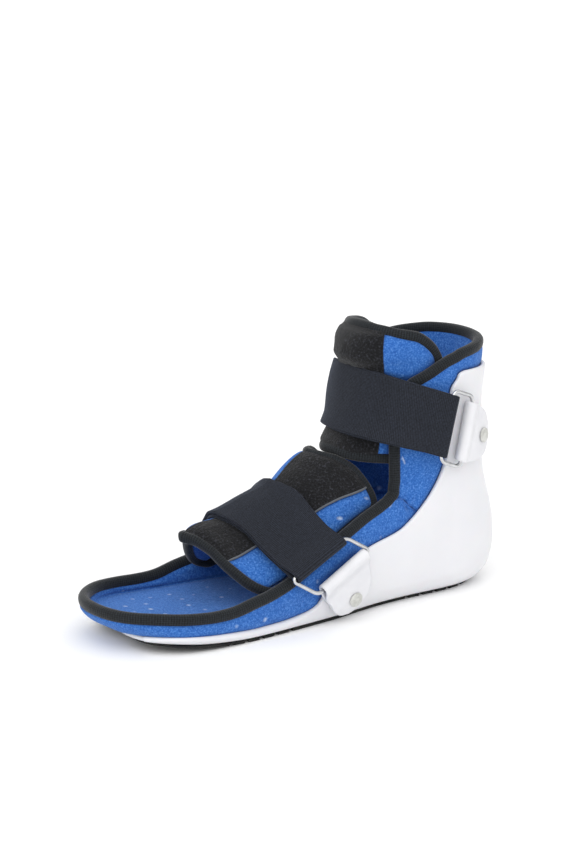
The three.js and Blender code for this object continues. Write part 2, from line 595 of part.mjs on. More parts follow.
const INSTEP_EDGES = [
  { part: 0, toe: 0.01, ankle: 0.82 }, { part: 0.2, toe: 0.045, ankle: 0.84 },
  { part: 0.4, toe: 0.095, ankle: 0.895 }, { part: 0.6, toe: 0.14, ankle: 0.965 },
  { part: 0.8, toe: 0.2, ankle: 1.025 }, { part: 0.9, toe: 0.25, ankle: 1.04 },
  { part: 1, toe: 0.32, ankle: 1.03 },
];
const instepToe = track(INSTEP_EDGES, 'part', 'toe');
const instepAnkle = track(INSTEP_EDGES, 'part', 'ankle');

const INSTEP_RUN = (BALL_HALF_WIDTH * 1.25) / INSTEP_LENGTH;

function instepGrid(columns, rows, cut, reachShare, margin, outer, inner) {
  return sheet(cut.to - cut.from, rows, (i, j) => {
    const across = (((i + cut.from) / columns) * 2 - 1) * reachShare;
    const part = Math.abs(across);
    const share = margin / INSTEP_LENGTH;
    const along = mix(instepToe(part) + share * steepness(instepToe, part, INSTEP_RUN),
      instepAnkle(part) - share * steepness(instepAnkle, part, INSTEP_RUN),
      clamp(j / rows, cut.end, 1 - cut.end));
    return [raise(instepPoint, instepCore, across, along, outer),
      raise(instepPoint, instepCore, across, along, inner)];
  });
}
function instepEdgePath() {
  const parts = [0, 0.12, 0.24, 0.36, 0.48, 0.6, 0.7, 0.8, 0.88, 0.94];
  const toe = parts.map((p) => [p, instepToe(p)]);
  const ankle = parts.slice().reverse().map((p) => [p, instepAnkle(p)]);
  const low = instepToe(1);
  const high = instepAnkle(1);
  const side = [0.02, 0.15, 0.32, 0.5, 0.68, 0.85, 0.98].map((t) => [0.985, mix(low, high, t)]);
  const half = [...toe, ...side, ...ankle];
  const other = half.slice(1, -1).reverse().map(([across, along]) => [-across, along]);
  return closedRun(instepPoint, instepCore, [...half, ...other], -PAD_WALL / 2);
}

// A band lies on a surface, goes round a ring's bar and comes back over itself. Its gauge holds
// its wall, its turn round the bar and the bar's lift off the surface.
const gaugeOf = (wall) => ({ wall, turn: WIRE / 2 + LAYER_GAP * 2 + wall / 2,
  bar: wall + LAYER_GAP * 2 + WIRE / 2, back: wall * 1.5 + LAYER_GAP * 1.5 });
const strapGauge = gaugeOf(STRAP_WALL);
const tabGauge = gaugeOf(TAB_WALL);

// The bar is straight, so the band leaves its surface near it to run true along the bar.
function toBar(surface, core, gauge, bar, k) {
  const ends = [-0.5, 0.5].map((end) => raise(surface, core, bar, end, gauge.bar));
  return ends[0].lerp(ends[1], k + 0.5).sub(raise(surface, core, bar, k, gauge.bar));
}
function bandStation(surface, core, gauge, { at, lift, bend, way, face, near, bar }, k) {
  const n = normalOn(surface, at, k, core);
  const base = surface(at, k);
  if (near > 0) base.addScaledVector(toBar(surface, core, gauge, bar, k), near);
  if (bend === undefined) {
    return { centre: base.addScaledVector(n, lift), face: n.multiplyScalar(face) };
  }
  const ahead = surface(at + 0.002, k).sub(surface(at - 0.002, k)).normalize();
  const away = n.clone().multiplyScalar(-Math.cos(bend))
    .addScaledVector(ahead, Math.sin(bend) * way).normalize();
  return { centre: base.addScaledVector(n, gauge.bar).addScaledVector(away, gauge.turn),
    face: away.negate() };
}
function bandSheet(surface, core, gauge, stations, rows) {
  return sheet(rows, stations.length - 1, (i, j) => {
    const { centre, face } = bandStation(surface, core, gauge, stations[j], i / rows - 0.5);
    return [centre.clone().addScaledVector(face, gauge.wall / 2),
      centre.clone().addScaledVector(face, -gauge.wall / 2)];
  });
}
// Stations from the plain end, along the inner layer, round the bar and back to the tail.
function bandStations(gauge, plainEnd, bar, tail, inner, outer, settleShare) {
  const close = (at, end) => {
    const t = clamp(1 - Math.abs(at - bar) / Math.abs(end - bar) / (settleShare * 1.5), 0, 1);
    return t * t * (3 - 2 * t);
  };
  const first = spread(inner).map((t) => mix(plainEnd, bar, t)).map((at) => ({ at,
    lift: gauge.wall / 2, face: 1, near: close(at, tail), bar }));
  const way = Math.sign(bar - plainEnd);
  const bends = [0.25, 0.5, 0.75].map((t) => ({ at: bar, bend: t * HALF_TURN, way, near: 1,
    bar }));
  const settle = [1, 0.6, 0.2, 0].map((share, i) => [share, mix(bar, tail,
    (i * settleShare) / 3)]).map(([share, at]) => ({ at,
    lift: mix(gauge.back, gauge.bar + gauge.turn, share), face: -1, near: close(at, tail), bar }));
  const rest = spread(outer).slice(1).map((t) => mix(mix(bar, tail, settleShare), tail, t))
    .map((at) => ({ at, lift: gauge.back, face: -1, near: close(at, tail), bar }));
  return [...first, ...bends, ...settle, ...rest];
}

// Ankle strap: round the leg, higher at the front than at the rivets.
const ANKLE_STRAP_RISE = 0.37;
const ANKLE_STRAP_HEIGHT = 108;
const ANKLE_BAR_TURN = -75;
const ANKLE_TAIL_TURN = 58;
const ANKLE_END_TURN = 127;
const OVER_PAD = LOOP_WALL + LAYER_GAP * 4;
const STRAP_LEAN = 0.15;
const STRAP_POWER = 2.5;       // the strap clears the pad's and the wrap's corners
const ankleSurface = (turn, k) => {
  const angle = turn * (1 + STRAP_LEAN * k * clamp(Math.abs(turn) / 80, 0, 1) ** 2)
    * (HALF_TURN / 180);
  const [cos, sin] = [Math.cos(angle), Math.sin(angle)];
  const side = halfWidth(ANKLE_X, ANKLE_STRAP_HEIGHT) + SKIN_TO_SHELL + STRAP_CLEARANCE * 2.5;
  const level = ANKLE_STRAP_HEIGHT + k * STRAP_WIDTH;
  const middle = cos > 0 ? shinReach(0.5) : backReach(ANKLE_STRAP_HEIGHT);
  const z = level + ANKLE_STRAP_RISE * superRadius(cos, sin, middle, side, STRAP_POWER) * cos;
  const front = shinReach((z - SHIN_BASE) / SHIN_HEIGHT) + OVER_PAD;
  const back = backReach(z) + SKIN_TO_SHELL + STRAP_CLEARANCE;
  const r = superRadius(cos, sin, cos > 0 ? front : back, side, STRAP_POWER);
  return vec(ANKLE_X - r * cos, r * sin, z);
};
const ankleCore = () => vec(ANKLE_X, 0, ANKLE_STRAP_HEIGHT);

// Instep strap: over the arch, further forward at the peak than at the sides, and on the
// big-toe side down over the shell, where part goes above 1.
const STRAP_PATH = [
  { part: 0, along: 0.385 }, { part: 0.4, along: 0.415 }, { part: 0.8, along: 0.51 },
  { part: 1.1, along: 0.62 }, { part: 1.6, along: 0.78 }, { part: 2, along: 0.88 },
];
const strapAlong = track(STRAP_PATH, 'part', 'along');
const INSTEP_BAR = -0.9;
const INSTEP_TAIL = 0.5;
const INSTEP_END = 1.75;
const STRAP_DROP = 34;
const STRAP_SLANT = 0.15;      // the sides slope, so the band takes less of their length
const instepSurface = (across, k) => {
  const part = Math.abs(across);
  const lengthwise = STRAP_WIDTH * (1 - STRAP_SLANT * clamp(part, 0, 1));
  const along = strapAlong(part) + (k * lengthwise) / INSTEP_LENGTH;
  const x = instepX(along);
  const base = rimHeight(x) - INSTEP_TUCK;
  const clear = SKIN_TO_SHELL + STRAP_CLEARANCE + (part > 1 ? 0 : STRAP_STANDOFF);
  const over = clamp(part, 0, 1);
  const p = archPoint(Math.sign(across) * over, along, halfWidth(x, base) + clear,
    dorsumHeight(along) + OVER_PAD * 1.2, base);
  if (part > 1) {
    const side = Math.sign(across);
    p.z -= (part - 1) * STRAP_DROP;
    p.y = side * (halfWidth(x, p.z) + clear - (halfWidth(x, base) + clear - Math.abs(p.y))
      * clamp(2 - part, 0, 1));
  }
  return p;
};
const strapCore = (across, k) => {
  const p = instepSurface(across, k);
  return vec(p.x, PEAK_Y * 0.5, p.z - DORSUM_HEIGHT * 0.25);
};

// The rings' other bars, each in a tab that lies on the shell, from the bar to its rivet.
const TAB_SEAT = SKIN_TO_SHELL + LAYER_GAP * 2.7;
const TAB_BEHIND = 2.5;        // the ankle tab's fold lies this far behind the leg's axis
const TAB_WIDTHS = [
  { run: -0.3, width: 1 }, { run: 0.1, width: 1 }, { run: 0.55, width: 0.86 },
  { run: 0.8, width: 0.66 }, { run: 0.93, width: 0.46 }, { run: 1, width: 0.26 },
];
function tabSurface({ x, z, dx, dz, bx, bz, length }) {
  const tabWidth = track(TAB_WIDTHS, 'run', 'width', length, TAB_WIDTH);
  return (run, k) => {
    const w = k * tabWidth(run);
    const px = x + dx * run + bx * w;
    const pz = z + dz * run + bz * w;
    const behind = px > ANKLE_X;
    const radius = halfWidth(ANKLE_X, pz) * 1.03;
    const place = behind ? 1 - Math.min(0.95, (px - ANKLE_X) / (radius * HALF_TURN / 2))
      : placeOf(px);
    return skin(-place, levelOf(pz), TAB_SEAT);
  };
}
const ANKLE_TAB = { x: ANKLE_X + TAB_BEHIND, z: 106.5, dx: 0.91, dz: -0.33, bx: 0.2, bz: 0.97,
  length: 22, rivet: 0.56 };
const INSTEP_TAB = { x: 1.2, z: 33.6, dx: 0.47, dz: -0.88, bx: 0.89, bz: 0.45,
  length: 26, rivet: 0.77 };
const ankleTab = tabSurface(ANKLE_TAB);
const instepTab = tabSurface(INSTEP_TAB);
const tabCore = (surface) => (run, k) => surface(run, k).multiply(vec(1, 0, 1));

// A wire loop, through the fold of a strap and the fold of a tab.
function wireLoop(strap, core, bar, tab) {
  const barEnd = (surface, inside, gauge, at, k) => raise(surface, inside, at, k, gauge.bar);
  const middle = (surface, inside, gauge, at) => {
    const a = barEnd(surface, inside, gauge, at, 0.5);
    const b = barEnd(surface, inside, gauge, at, -0.5);
    return { centre: a.clone().add(b).multiplyScalar(0.5), axis: a.sub(b).normalize() };
  };
  const first = middle(strap, core, strapGauge, bar);
  const other = middle(tab, tabCore(tab), tabGauge, 0);
  const half = (RING_LENGTH - WIRE) / 2;
  const corners = [
    first.centre.clone().addScaledVector(first.axis, half),
    first.centre.clone().addScaledVector(first.axis, -half),
    other.centre.clone().addScaledVector(other.axis, -half),
    other.centre.clone().addScaledVector(other.axis, half),
  ];
  const outward = normalOn(tab, 0, 0, tabCore(tab));
  const path = [];
  corners.forEach((corner, i) => {
    const before = corners[(i + 3) % 4];
    const after = corners[(i + 1) % 4];
    const a = corner.clone().addScaledVector(before.clone().sub(corner).normalize(), RING_CORNER);
    const b = corner.clone().addScaledVector(after.clone().sub(corner).normalize(), RING_CORNER);
    const bend = new THREE.QuadraticBezierCurve3(a, corner, b);
    spread(4).forEach((t) => path.push({ point: bend.getPoint(t), normal: outward }));
  });
  return cord(path, WIRE, WIRE, 6);
}
function makeTab(surface, { length }) {
  const stations = bandStations(tabGauge, length, 0, length, 5, 4, 0.3);
  return bandSheet(surface, tabCore(surface), tabGauge, stations, 3);
}

// A domed rivet head, set on a surface.
function rivet(point, normal) {
  const r = RIVET_RADIUS;
  const h = RIVET_HEAD;
  const profile = [[0, 0], [r, 0], [r, h * 0.3], [r * 0.86, h * 0.66], [r * 0.55, h * 0.92],
    [0, h]].map(([x, y]) => new THREE.Vector2(x, y));
  const turn = new THREE.Quaternion().setFromUnitVectors(vec(0, 1, 0), normal);
  const geometry = new THREE.LatheGeometry(profile, 12);
  geometry.applyQuaternion(turn).translate(point.x, point.y, point.z);
  geometry.deleteAttribute('normal');
  geometry.deleteAttribute('uv');
  const p = geometry.attributes.position;
  const points = Array.from({ length: p.count }, (_, i) => vec(p.getX(i), p.getY(i), p.getZ(i)));
  return solidFrom(points, Array.from(geometry.index.array));
}
const rivetOn = (surface, core, at, lift) => (
  rivet(raise(surface, core, at, 0, lift + LAYER_GAP), normalOn(surface, at, 0, core)));
const tabRivet = ({ length, rivet: share }) => length * share;

const finishes = {
  shell: new THREE.MeshStandardMaterial({ color: '#f0f0f2', roughness: 0.38, metalness: 0 }),
  rubber: new THREE.MeshStandardMaterial({ color: '#1c1d1f', roughness: 0.85, metalness: 0 }),
  liner: new THREE.MeshStandardMaterial({ color: '#2f66c8', roughness: 0.95, metalness: 0 }),
  binding: new THREE.MeshStandardMaterial({ color: '#23282b', roughness: 0.9, metalness: 0 }),
  loop: new THREE.MeshStandardMaterial({ color: '#1d1a1c', roughness: 1, metalness: 0 }),
  strap: new THREE.MeshStandardMaterial({ color: '#2b2f38', roughness: 0.8, metalness: 0 }),
  wire: new THREE.MeshStandardMaterial({ color: '#c9cccf', roughness: 0.2, metalness: 1 }),
  tab: new THREE.MeshStandardMaterial({ color: '#ececee', roughness: 0.4, metalness: 0 }),
  rivet: new THREE.MeshStandardMaterial({ color: '#cfd0cc', roughness: 0.35, metalness: 0.4 }),
};
const WHOLE_SHIN = { from: 0, to: 20, end: 0 };
const SHIN_PATCH = { from: 6, to: 14, end: 0.03 };
const WHOLE_INSTEP = { from: 0, to: 20, end: 0 };
const INSTEP_PATCH = { from: 4, to: 14, end: 0.03 };
const padInner = -PAD_WALL;
const loopSeat = LAYER_GAP;
const pieces = [
  ['shell', makeShell(), 'shell'],
  ['outsole', makeSole(), 'rubber'],
  ['liner_foot', makeBowl(), 'liner'],
  ['liner_collar', makeCollar(), 'liner'],
  ['edge_binding', cord(edgePath(), BINDING_WIDTH, BINDING_THICK, 6), 'binding'],
  ['shin_pad', shinGrid(20, 8, WHOLE_SHIN, 0.865, PAD_ROOM, 0, padInner), 'liner'],
  ['shin_pad_binding', cord(shinEdgePath(), PAD_BINDING_WIDTH, PAD_BINDING_THICK, 6), 'binding'],
  ['shin_loop_patch', shinGrid(20, 8, SHIN_PATCH, 0.865, PAD_ROOM, loopSeat + LOOP_WALL,
    loopSeat), 'loop'],
  ['instep_pad', instepGrid(20, 8, WHOLE_INSTEP, 0.895, PAD_ROOM, 0, padInner), 'liner'],
  ['instep_pad_binding', cord(instepEdgePath(), PAD_BINDING_WIDTH, PAD_BINDING_THICK, 6),
    'binding'],
  ['instep_loop_patch', instepGrid(20, 8, INSTEP_PATCH, 0.895, PAD_ROOM, loopSeat + LOOP_WALL,
    loopSeat), 'loop'],
  ['ankle_strap', bandSheet(ankleSurface, ankleCore, strapGauge, bandStations(strapGauge,
    ANKLE_END_TURN, ANKLE_BAR_TURN, ANKLE_TAIL_TURN, 26, 12, 0.12), 3), 'strap'],
  ['instep_strap', bandSheet(instepSurface, strapCore, strapGauge, bandStations(strapGauge,
    INSTEP_END, INSTEP_BAR, INSTEP_TAIL, 24, 12, 0.12), 3), 'strap'],
  ['ankle_ring', wireLoop(ankleSurface, ankleCore, ANKLE_BAR_TURN, ankleTab), 'wire'],
  ['instep_ring', wireLoop(instepSurface, strapCore, INSTEP_BAR, instepTab), 'wire'],
  ['ankle_ring_tab', makeTab(ankleTab, ANKLE_TAB), 'tab'],
  ['instep_ring_tab', makeTab(instepTab, INSTEP_TAB), 'tab'],
  ['ankle_tab_rivet', rivetOn(ankleTab, tabCore(ankleTab), tabRivet(ANKLE_TAB),
    tabGauge.back + TAB_WALL / 2), 'rivet'],
  ['instep_tab_rivet', rivetOn(instepTab, tabCore(instepTab), tabRivet(INSTEP_TAB),
    tabGauge.back + TAB_WALL / 2), 'rivet'],
  ['ankle_strap_rivet', rivetOn(ankleSurface, ankleCore, ANKLE_END_TURN - 11, STRAP_WALL),
    'rivet'],
  ['instep_strap_rivet', rivetOn(instepSurface, strapCore, INSTEP_END - 0.22, STRAP_WALL),
    'rivet'],
];
const boot = new THREE.Group();
const box = new THREE.Box3();
pieces.forEach(([name, geometry, finish]) => {
  const mesh = new THREE.Mesh(geometry, finishes[finish]);
  mesh.name = name;
  boot.add(mesh);
  geometry.computeBoundingBox();
  box.union(geometry.boundingBox);
});
boot.children.forEach((mesh) => mesh.position.set(
  -(box.min.x + box.max.x) / 2, -(box.min.y + box.max.y) / 2, -box.min.z));
export default boot;
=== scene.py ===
"""Scene of a short walking boot: moulded shell, rubber sole, padded liner, pads, straps, rings.

The soft pieces and the moulded shell follow one worked-out form, so that every layer nests.
Lengths are millimetres until a mesh is made, which is in metres.
"""

import logging
import math
from dataclasses import dataclass
from enum import Enum
from typing import Callable, Sequence

import bmesh
import bpy
import numpy as np
from mathutils import Matrix, Vector

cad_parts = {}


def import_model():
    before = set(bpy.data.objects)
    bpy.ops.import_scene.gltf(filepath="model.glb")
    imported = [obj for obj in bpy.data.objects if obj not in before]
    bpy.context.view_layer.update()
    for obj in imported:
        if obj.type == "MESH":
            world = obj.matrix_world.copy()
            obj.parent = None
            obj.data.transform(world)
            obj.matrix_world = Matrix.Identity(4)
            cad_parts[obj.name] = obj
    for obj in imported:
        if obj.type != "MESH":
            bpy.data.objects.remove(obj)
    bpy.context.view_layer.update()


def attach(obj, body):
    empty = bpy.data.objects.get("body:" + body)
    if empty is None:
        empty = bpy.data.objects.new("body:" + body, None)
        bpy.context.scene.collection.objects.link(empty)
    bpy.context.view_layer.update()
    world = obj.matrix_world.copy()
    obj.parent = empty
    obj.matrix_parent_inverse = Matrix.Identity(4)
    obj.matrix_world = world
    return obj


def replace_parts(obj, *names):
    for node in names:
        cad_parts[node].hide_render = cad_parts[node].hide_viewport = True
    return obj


log = logging.getLogger("walking_boot")
Array = np.ndarray
Surface = Callable[[Array, Array], Array]
Piece = bpy.types.Object
Material = bpy.types.Material
Socket = bpy.types.NodeSocket
Tree = bpy.types.NodeTree


class Slot(Enum):
    """The pieces' material slots."""

    SHELL = "shell"
    RUBBER = "rubber"
    LINER = "liner"
    BINDING = "binding"
    LOOP = "loop"
    STRAP = "strap"
    WIRE = "wire"
    TAB = "tab"
    RIVET = "rivet"


# Small maths

def mix(a: float, b: float, t: float) -> float:
    """Return the value a share t of the way from a to b."""
    return a + (b - a) * t


def unit(v: Array) -> Array:
    """Return vectors scaled to length one."""
    return v / np.maximum(np.linalg.norm(v, axis=-1, keepdims=True), 1e-9)


def pair(a: Array, b: Array) -> list:
    """Return two inputs as float arrays of one shape."""
    return np.broadcast_arrays(np.asarray(a, float), np.asarray(b, float))


def level_slopes(knots: Array, values: Array) -> Array:
    """Return slopes at knots for a curve that never overshoots and is level at both ends."""
    steps = np.diff(values, axis=0) / np.diff(knots).reshape((-1,) + (1,) * (values.ndim - 1))
    product = steps[:-1] * steps[1:]
    total = np.where(product > 0, steps[:-1] + steps[1:], 1)
    slopes = np.zeros_like(values)
    slopes[1:-1] = np.where(product > 0, 2 * product / total, 0)
    return slopes


def monotone(knots: Array, values: Array, at: Array, slopes: Array | None = None) -> Array:
    """Read a smooth curve through knots.

    Args:
        knots: Rising places along the curve.
        values: One value for each knot, or one array of values, shaped like at, for each.
        at: Places to read.
        slopes: The curve's slopes at the knots, worked out where none are given.

    Returns:
        The curve's value at each place.
    """
    at = np.clip(at, knots[0], knots[-1])
    slopes = level_slopes(knots, values) if slopes is None else slopes
    i = np.clip(np.searchsorted(knots, at, side="left") - 1, 0, len(knots) - 2)
    if values.ndim == 1:
        ends = values[i], values[i + 1], slopes[i], slopes[i + 1]
    else:
        cells = np.indices(at.shape)
        ends = (values[(i, *cells)], values[(i + 1, *cells)],
                slopes[(i, *cells)], slopes[(i + 1, *cells)])
    h = knots[i + 1] - knots[i]
    t = (at - knots[i]) / h
    u = 1 - t
    return (u * u * (1 + 2 * t) * ends[0] + t * t * (3 - 2 * t) * ends[1]
            + h * t * u * (u * ends[2] - t * ends[3]))


class Track:
    """A smooth curve read from two columns of a short table."""

    def __init__(self, rows: Sequence[Sequence[float]], at: int, column: int,
                 scale_at: float = 1.0, scale: float = 1.0) -> None:
        """Keep the columns, scaled to millimetres."""
        self.knots = np.array([r[at] * scale_at for r in rows], float)
        self.values = np.array([r[column] * scale for r in rows], float)
        self.slopes = level_slopes(self.knots, self.values)

    def __call__(self, at: Array) -> Array:
        """Return the curve's value at each place."""
        return monotone(self.knots, self.values, np.asarray(at, float), self.slopes)


def super_radius(cos: Array, sin: Array, a: Array, b: Array, power: float) -> Array:
    """Return the radius of a rounded oval in a direction."""
    return (np.abs(cos / a) ** power + np.abs(sin / b) ** power) ** (-1 / power)


def facing(surface: Surface, core: Surface, a: Array, b: Array, step: float = 0.002) -> Array:
    """Return a surface's normals, away from a point inside it."""
    du = surface(a + step, b) - surface(a - step, b)
    dv = surface(a, b + step) - surface(a, b - step)
    n = unit(np.cross(du, dv))
    turn = np.sum(n * (surface(a, b) - core(a, b)), axis=-1, keepdims=True) < 0
    return np.where(turn, -n, n)


def lifted(surface: Surface, core: Surface, a: Array, b: Array, lift: Array) -> Array:
    """Return points raised off a surface along its normals."""
    lift = np.asarray(lift, float)
    return surface(a, b) + facing(surface, core, a, b) * lift[..., None]


def lengths(points: Array, axis: int) -> Array:
    """Return each point's distance along a grid's rows, in millimetres."""
    step = np.linalg.norm(np.diff(points, axis=axis), axis=-1)
    zero = np.zeros_like(np.take(step, [0], axis=axis))
    return np.concatenate([zero, np.cumsum(step, axis=axis)], axis=axis)


# The boot's form, close to the solids' own and settled on the photograph

@dataclass
class Form:
    """The liner's outer skin, and the edges that the layers are cut to."""

    ankle_x: float = 91.5
    ball_x: float = -85.0
    ankle_half_width: float = 40.7
    ball_half_width: float = 49.0
    heel_reach: float = 48.0
    toe_reach: float = 58.0
    collar_height: float = 157.0
    edge_radius: float = 8.0
    toe_spring: float = 6.0
    spring_start_x: float = -62.0
    sole_thickness: float = 3.7
    shell_wall: float = 3.0
    liner_wall: float = 5.0
    layer_gap: float = 0.3
    shell_fit: float = 0.5
    corner_x: float = 50.3
    corner_height: float = 70.3
    rim_length: float = 193.0
    binding_width: float = 6.6
    heel_power: float = 2.3
    toe_power: float = 2.1
    level_run: float = 100.0        # millimetres of wall to one level
    origin: tuple = (-0.134, 2.333, 0.0)

    def __post_init__(self) -> None:
        """Set up the tables' curves."""
        c = self.collar_height
        rows = [
            (0.046, 0.94, 0.82, 0.82, 0.84, 0.84, 0.97, 0.95),
            (0.100, 0.965, 0.87, 0.88, 0.92, 0.885, 0.97, 0.985),
            (0.165, 1.0, 0.91, 0.93, 0.98, 0.915, 1.0, 1.0),
            (0.230, 0.995, 0.93, 0.96, 1.0, 0.915, 1.0, 1.0),
            (0.305, 0.945, 0.95, 0.98, 1.0, 0.895, 1.0, 1.0),
            (0.395, 0.845, 0.97, 0.985, 0.965, 0.84, 1.0, 1.0),
            (0.485, 0.745, 0.99, 0.975, 0.88, 0.77, 1.0, 1.0),
            (0.610, 0.7, 1.0, 0.97, 0.858, 0.7, 1.0, 1.0),
            (0.765, 0.688, 1.0, 0.963, 0.82, 0.65, 1.0, 1.0),
            (0.890, 0.745, 1.0, 0.953, 0.765, 0.6, 1.0, 1.0),
            (1.000, 0.8, 1.0, 0.95, 0.745, 0.6, 1.0, 1.0),
        ]
        self.floor = self.sole_thickness + self.layer_gap + self.shell_wall + self.shell_fit
        self.wall_start = self.floor + self.edge_radius
        self.skin_to_shell = self.shell_fit + self.shell_wall
        self.back_reach = Track(rows, 0, 1, c, self.heel_reach)
        self.front_reach = Track(rows, 0, 7, c, self.toe_reach)
        self.width_x = np.array([self.ball_x, 0.0, 50.0, 70.0, self.ankle_x])
        self.width_at = [Track(rows, 0, 6, c, self.ball_half_width),
                         Track(rows, 0, 5, c, self.ball_half_width),
                         Track(rows, 0, 4, c, self.ankle_half_width),
                         Track(rows, 0, 3, c, self.ankle_half_width),
                         Track(rows, 0, 2, c, self.ankle_half_width)]
        inset = [(0, 1.4), (1, 1.0), (1.3, 0.8), (1.6, 0.5), (2, 0.35), (2.5, 0.7), (3, 1.25)]
        self.edge_inset = Track(inset, 0, 1, 1, self.edge_radius)
        rim = [(0, 0.238), (0.14, 0.262), (0.30, 0.262), (0.373, 0.276), (0.445, 0.326),
               (0.505, 0.368), (0.567, 0.425), (0.66, 0.552), (0.727, 0.649), (0.783, 0.734),
               (0.834, 0.8), (0.885, 0.862), (0.933, 0.915), (0.97, 0.96), (1, 1.0)]
        tip = self.corner_x - self.rim_length
        track = Track(rim, 0, 1, self.rim_length, self.corner_height)
        self.rim_height = lambda x: track(np.asarray(x) - tip)
        front = [(0.448, 1.0), (0.47, 0.985), (0.51, 0.96), (0.63, 0.959), (0.73, 0.925),
                 (0.83, 0.858)]
        throat = Track(front, 0, 1, c, self.ankle_x - self.corner_x)
        self.front_place = lambda z: self.place_of(self.ankle_x - throat(z))
        top = [(0, 1.0), (0.45, 0.994), (0.66, 0.985), (0.88, 0.974), (1.026, 0.95),
               (1.083, 0.917), (1.133, 0.892), (1.165, 0.873), (1.195, 0.842)]
        self.collar_top = Track(top, 0, 1, 1, c)
        seam = [(0, 0.30), (1, 0.31), (1.066, 0.325), (1.133, 0.35), (1.173, 0.378),
                (1.196, 0.404), (1.216, 0.424)]
        self.seam_height = Track(seam, 0, 1, 1, c)
        shell = [(0, 0.903, 0), (0.9, 0.903, 0), (0.97, 0.896, 0), (1.01, 0.862, 0),
                 (1.026, 0.832, 0), (1.034, 0.70, 0), (1.042, 0.575, 0), (1.064, 0.505, 0),
                 (1.093, 0.449, 0), (1.138, 0.391, 0), (1.182, 0.347, 0), (1.238, 0.309, 0),
                 (1.387, 0.263, 0), (1.452, 0.228, 0), (1.545, 0.175, 0), (1.565, 0.135, 0),
                 (1.585, 0.095, 0), (1.645, 0.0635, 0), (1.74, 0.05, 0), (1.84, 0.0485, 0),
                 (2, 0.0525, 0), (2.3, 0.0555, 0), (2.55, 0.051, 0), (2.75, 0.0465, 0.06),
                 (3, 0.0465, 0.14)]
        self.shell_height = Track(shell, 0, 1, 1, c)
        self.plate_setback = Track(shell, 0, 2)

    def half_width(self, x: Array, z: Array) -> Array:
        """Return the form's half width at a length and a height."""
        x, z = pair(x, z)
        return monotone(self.width_x, np.stack([w(z) for w in self.width_at]), x)

    def place_of(self, x: Array) -> Array:
        """Return the place along the side that lies level with x."""
        return 1 + (self.ankle_x - np.asarray(x)) / (self.ankle_x - self.ball_x)

    def spring(self, x: Array) -> Array:
        """Return how far the toe end is lifted at x."""
        run = self.spring_start_x - self.ball_x + self.toe_reach
        t = np.maximum(0, (self.spring_start_x - x) / run)
        return self.toe_spring * t * t

    def fan(self, place: Array) -> tuple:
        """Return the start and direction of the rib at a place, and its zone."""
        place = np.asarray(place, float)
        side = np.where(place < 0, -1.0, 1.0)
        p = np.abs(place)
        zone = np.where(p <= 1, 0, np.where(p < 2, 1, 2))
        turn = np.where(zone == 0, p, 3 - p) * math.pi / 2
        x = np.where(zone == 0, self.ankle_x,
                     np.where(zone == 1, mix(self.ankle_x, self.ball_x, p - 1), self.ball_x))
        cos = np.where(zone == 0, np.cos(turn), np.where(zone == 1, 0.0, -np.cos(turn)))
        sin = side * np.where(zone == 1, 1.0, np.sin(turn))
        return x, cos, sin, zone

    def reach(self, x: Array, cos: Array, sin: Array, zone: Array, z: Array) -> Array:
        """Return how far the form lies out along a rib at a height."""
        heel = super_radius(cos, sin, self.back_reach(z), self.half_width(self.ankle_x, z),
                            self.heel_power)
        toe = super_radius(cos, sin, self.front_reach(z), self.half_width(self.ball_x, z),
                           self.toe_power)
        return np.where(zone == 0, heel, np.where(zone == 2, toe, self.half_width(x, z)))

    def level_of(self, z: Array) -> Array:
        """Return the level of a height: 0 is the floor's edge, above 1 the wall."""
        z = np.asarray(z, float)
        low = np.arccos(np.clip((self.wall_start - z) / self.edge_radius, 0, 1)) / (math.pi / 2)
        return np.where(z >= self.wall_start, 1 + (z - self.wall_start) / self.level_run, low)

    def level_rows(self, top: Array, share: Array) -> Array:
        """Return levels at shares of the way up each rib to its top, even in length."""
        bend = self.edge_radius * math.pi / 2
        run = np.where(top > 1, bend + (top - 1) * self.level_run, np.maximum(top, 0) * bend)
        s = run[:, None] * share[None]
        return np.where(s < bend, s / bend, 1 + (s - bend) / self.level_run)

    def point(self, place: Array, level: Array) -> Array:
        """Return points of the form; level -1 is the floor's middle."""
        place, level = pair(place, level)
        x, cos, sin, zone = self.fan(place)
        turn = np.clip(level, 0, 1) * math.pi / 2
        z = np.where(level > 1, self.wall_start + (level - 1) * self.level_run,
                     self.wall_start - self.edge_radius * np.cos(turn))
        inset = np.where(level < 1, self.edge_inset(np.abs(place)) * (1 - np.sin(turn)), 0)
        r = (self.reach(x, cos, sin, zone, z) - inset) * np.clip(1 + level, 0, 1)
        px = x + r * cos
        return np.stack([px, r * sin, z + self.spring(px)], axis=-1)

    def normal(self, place: Array, level: Array) -> Array:
        """Return the form's outward normals."""
        place, level = pair(place, level)
        s = 0.004
        wrap = lambda p: np.where(p > 3, p - 6, np.where(p < -3, p + 6, p))
        du = self.point(wrap(place + s), level) - self.point(wrap(place - s), level)
        dv = self.point(place, level + s) - self.point(place, level - s)
        n = unit(np.cross(du, dv))
        on_axis = (np.abs(place) < s) | (np.abs(place) > 3 - s)
        n[..., 1] = np.where(on_axis, 0, n[..., 1])
        x = self.point(place, level)[..., 0]
        slope = (self.spring(x + 1) - self.spring(x - 1)) / 2
        under = np.stack([slope, np.zeros_like(slope), -np.ones_like(slope)], axis=-1)
        return unit(np.where((level <= 0)[..., None], under, n))

    def skin(self, place: Array, level: Array, offset: float) -> Array:
        """Return points a distance off the form."""
        return self.point(place, level) + self.normal(place, level) * offset

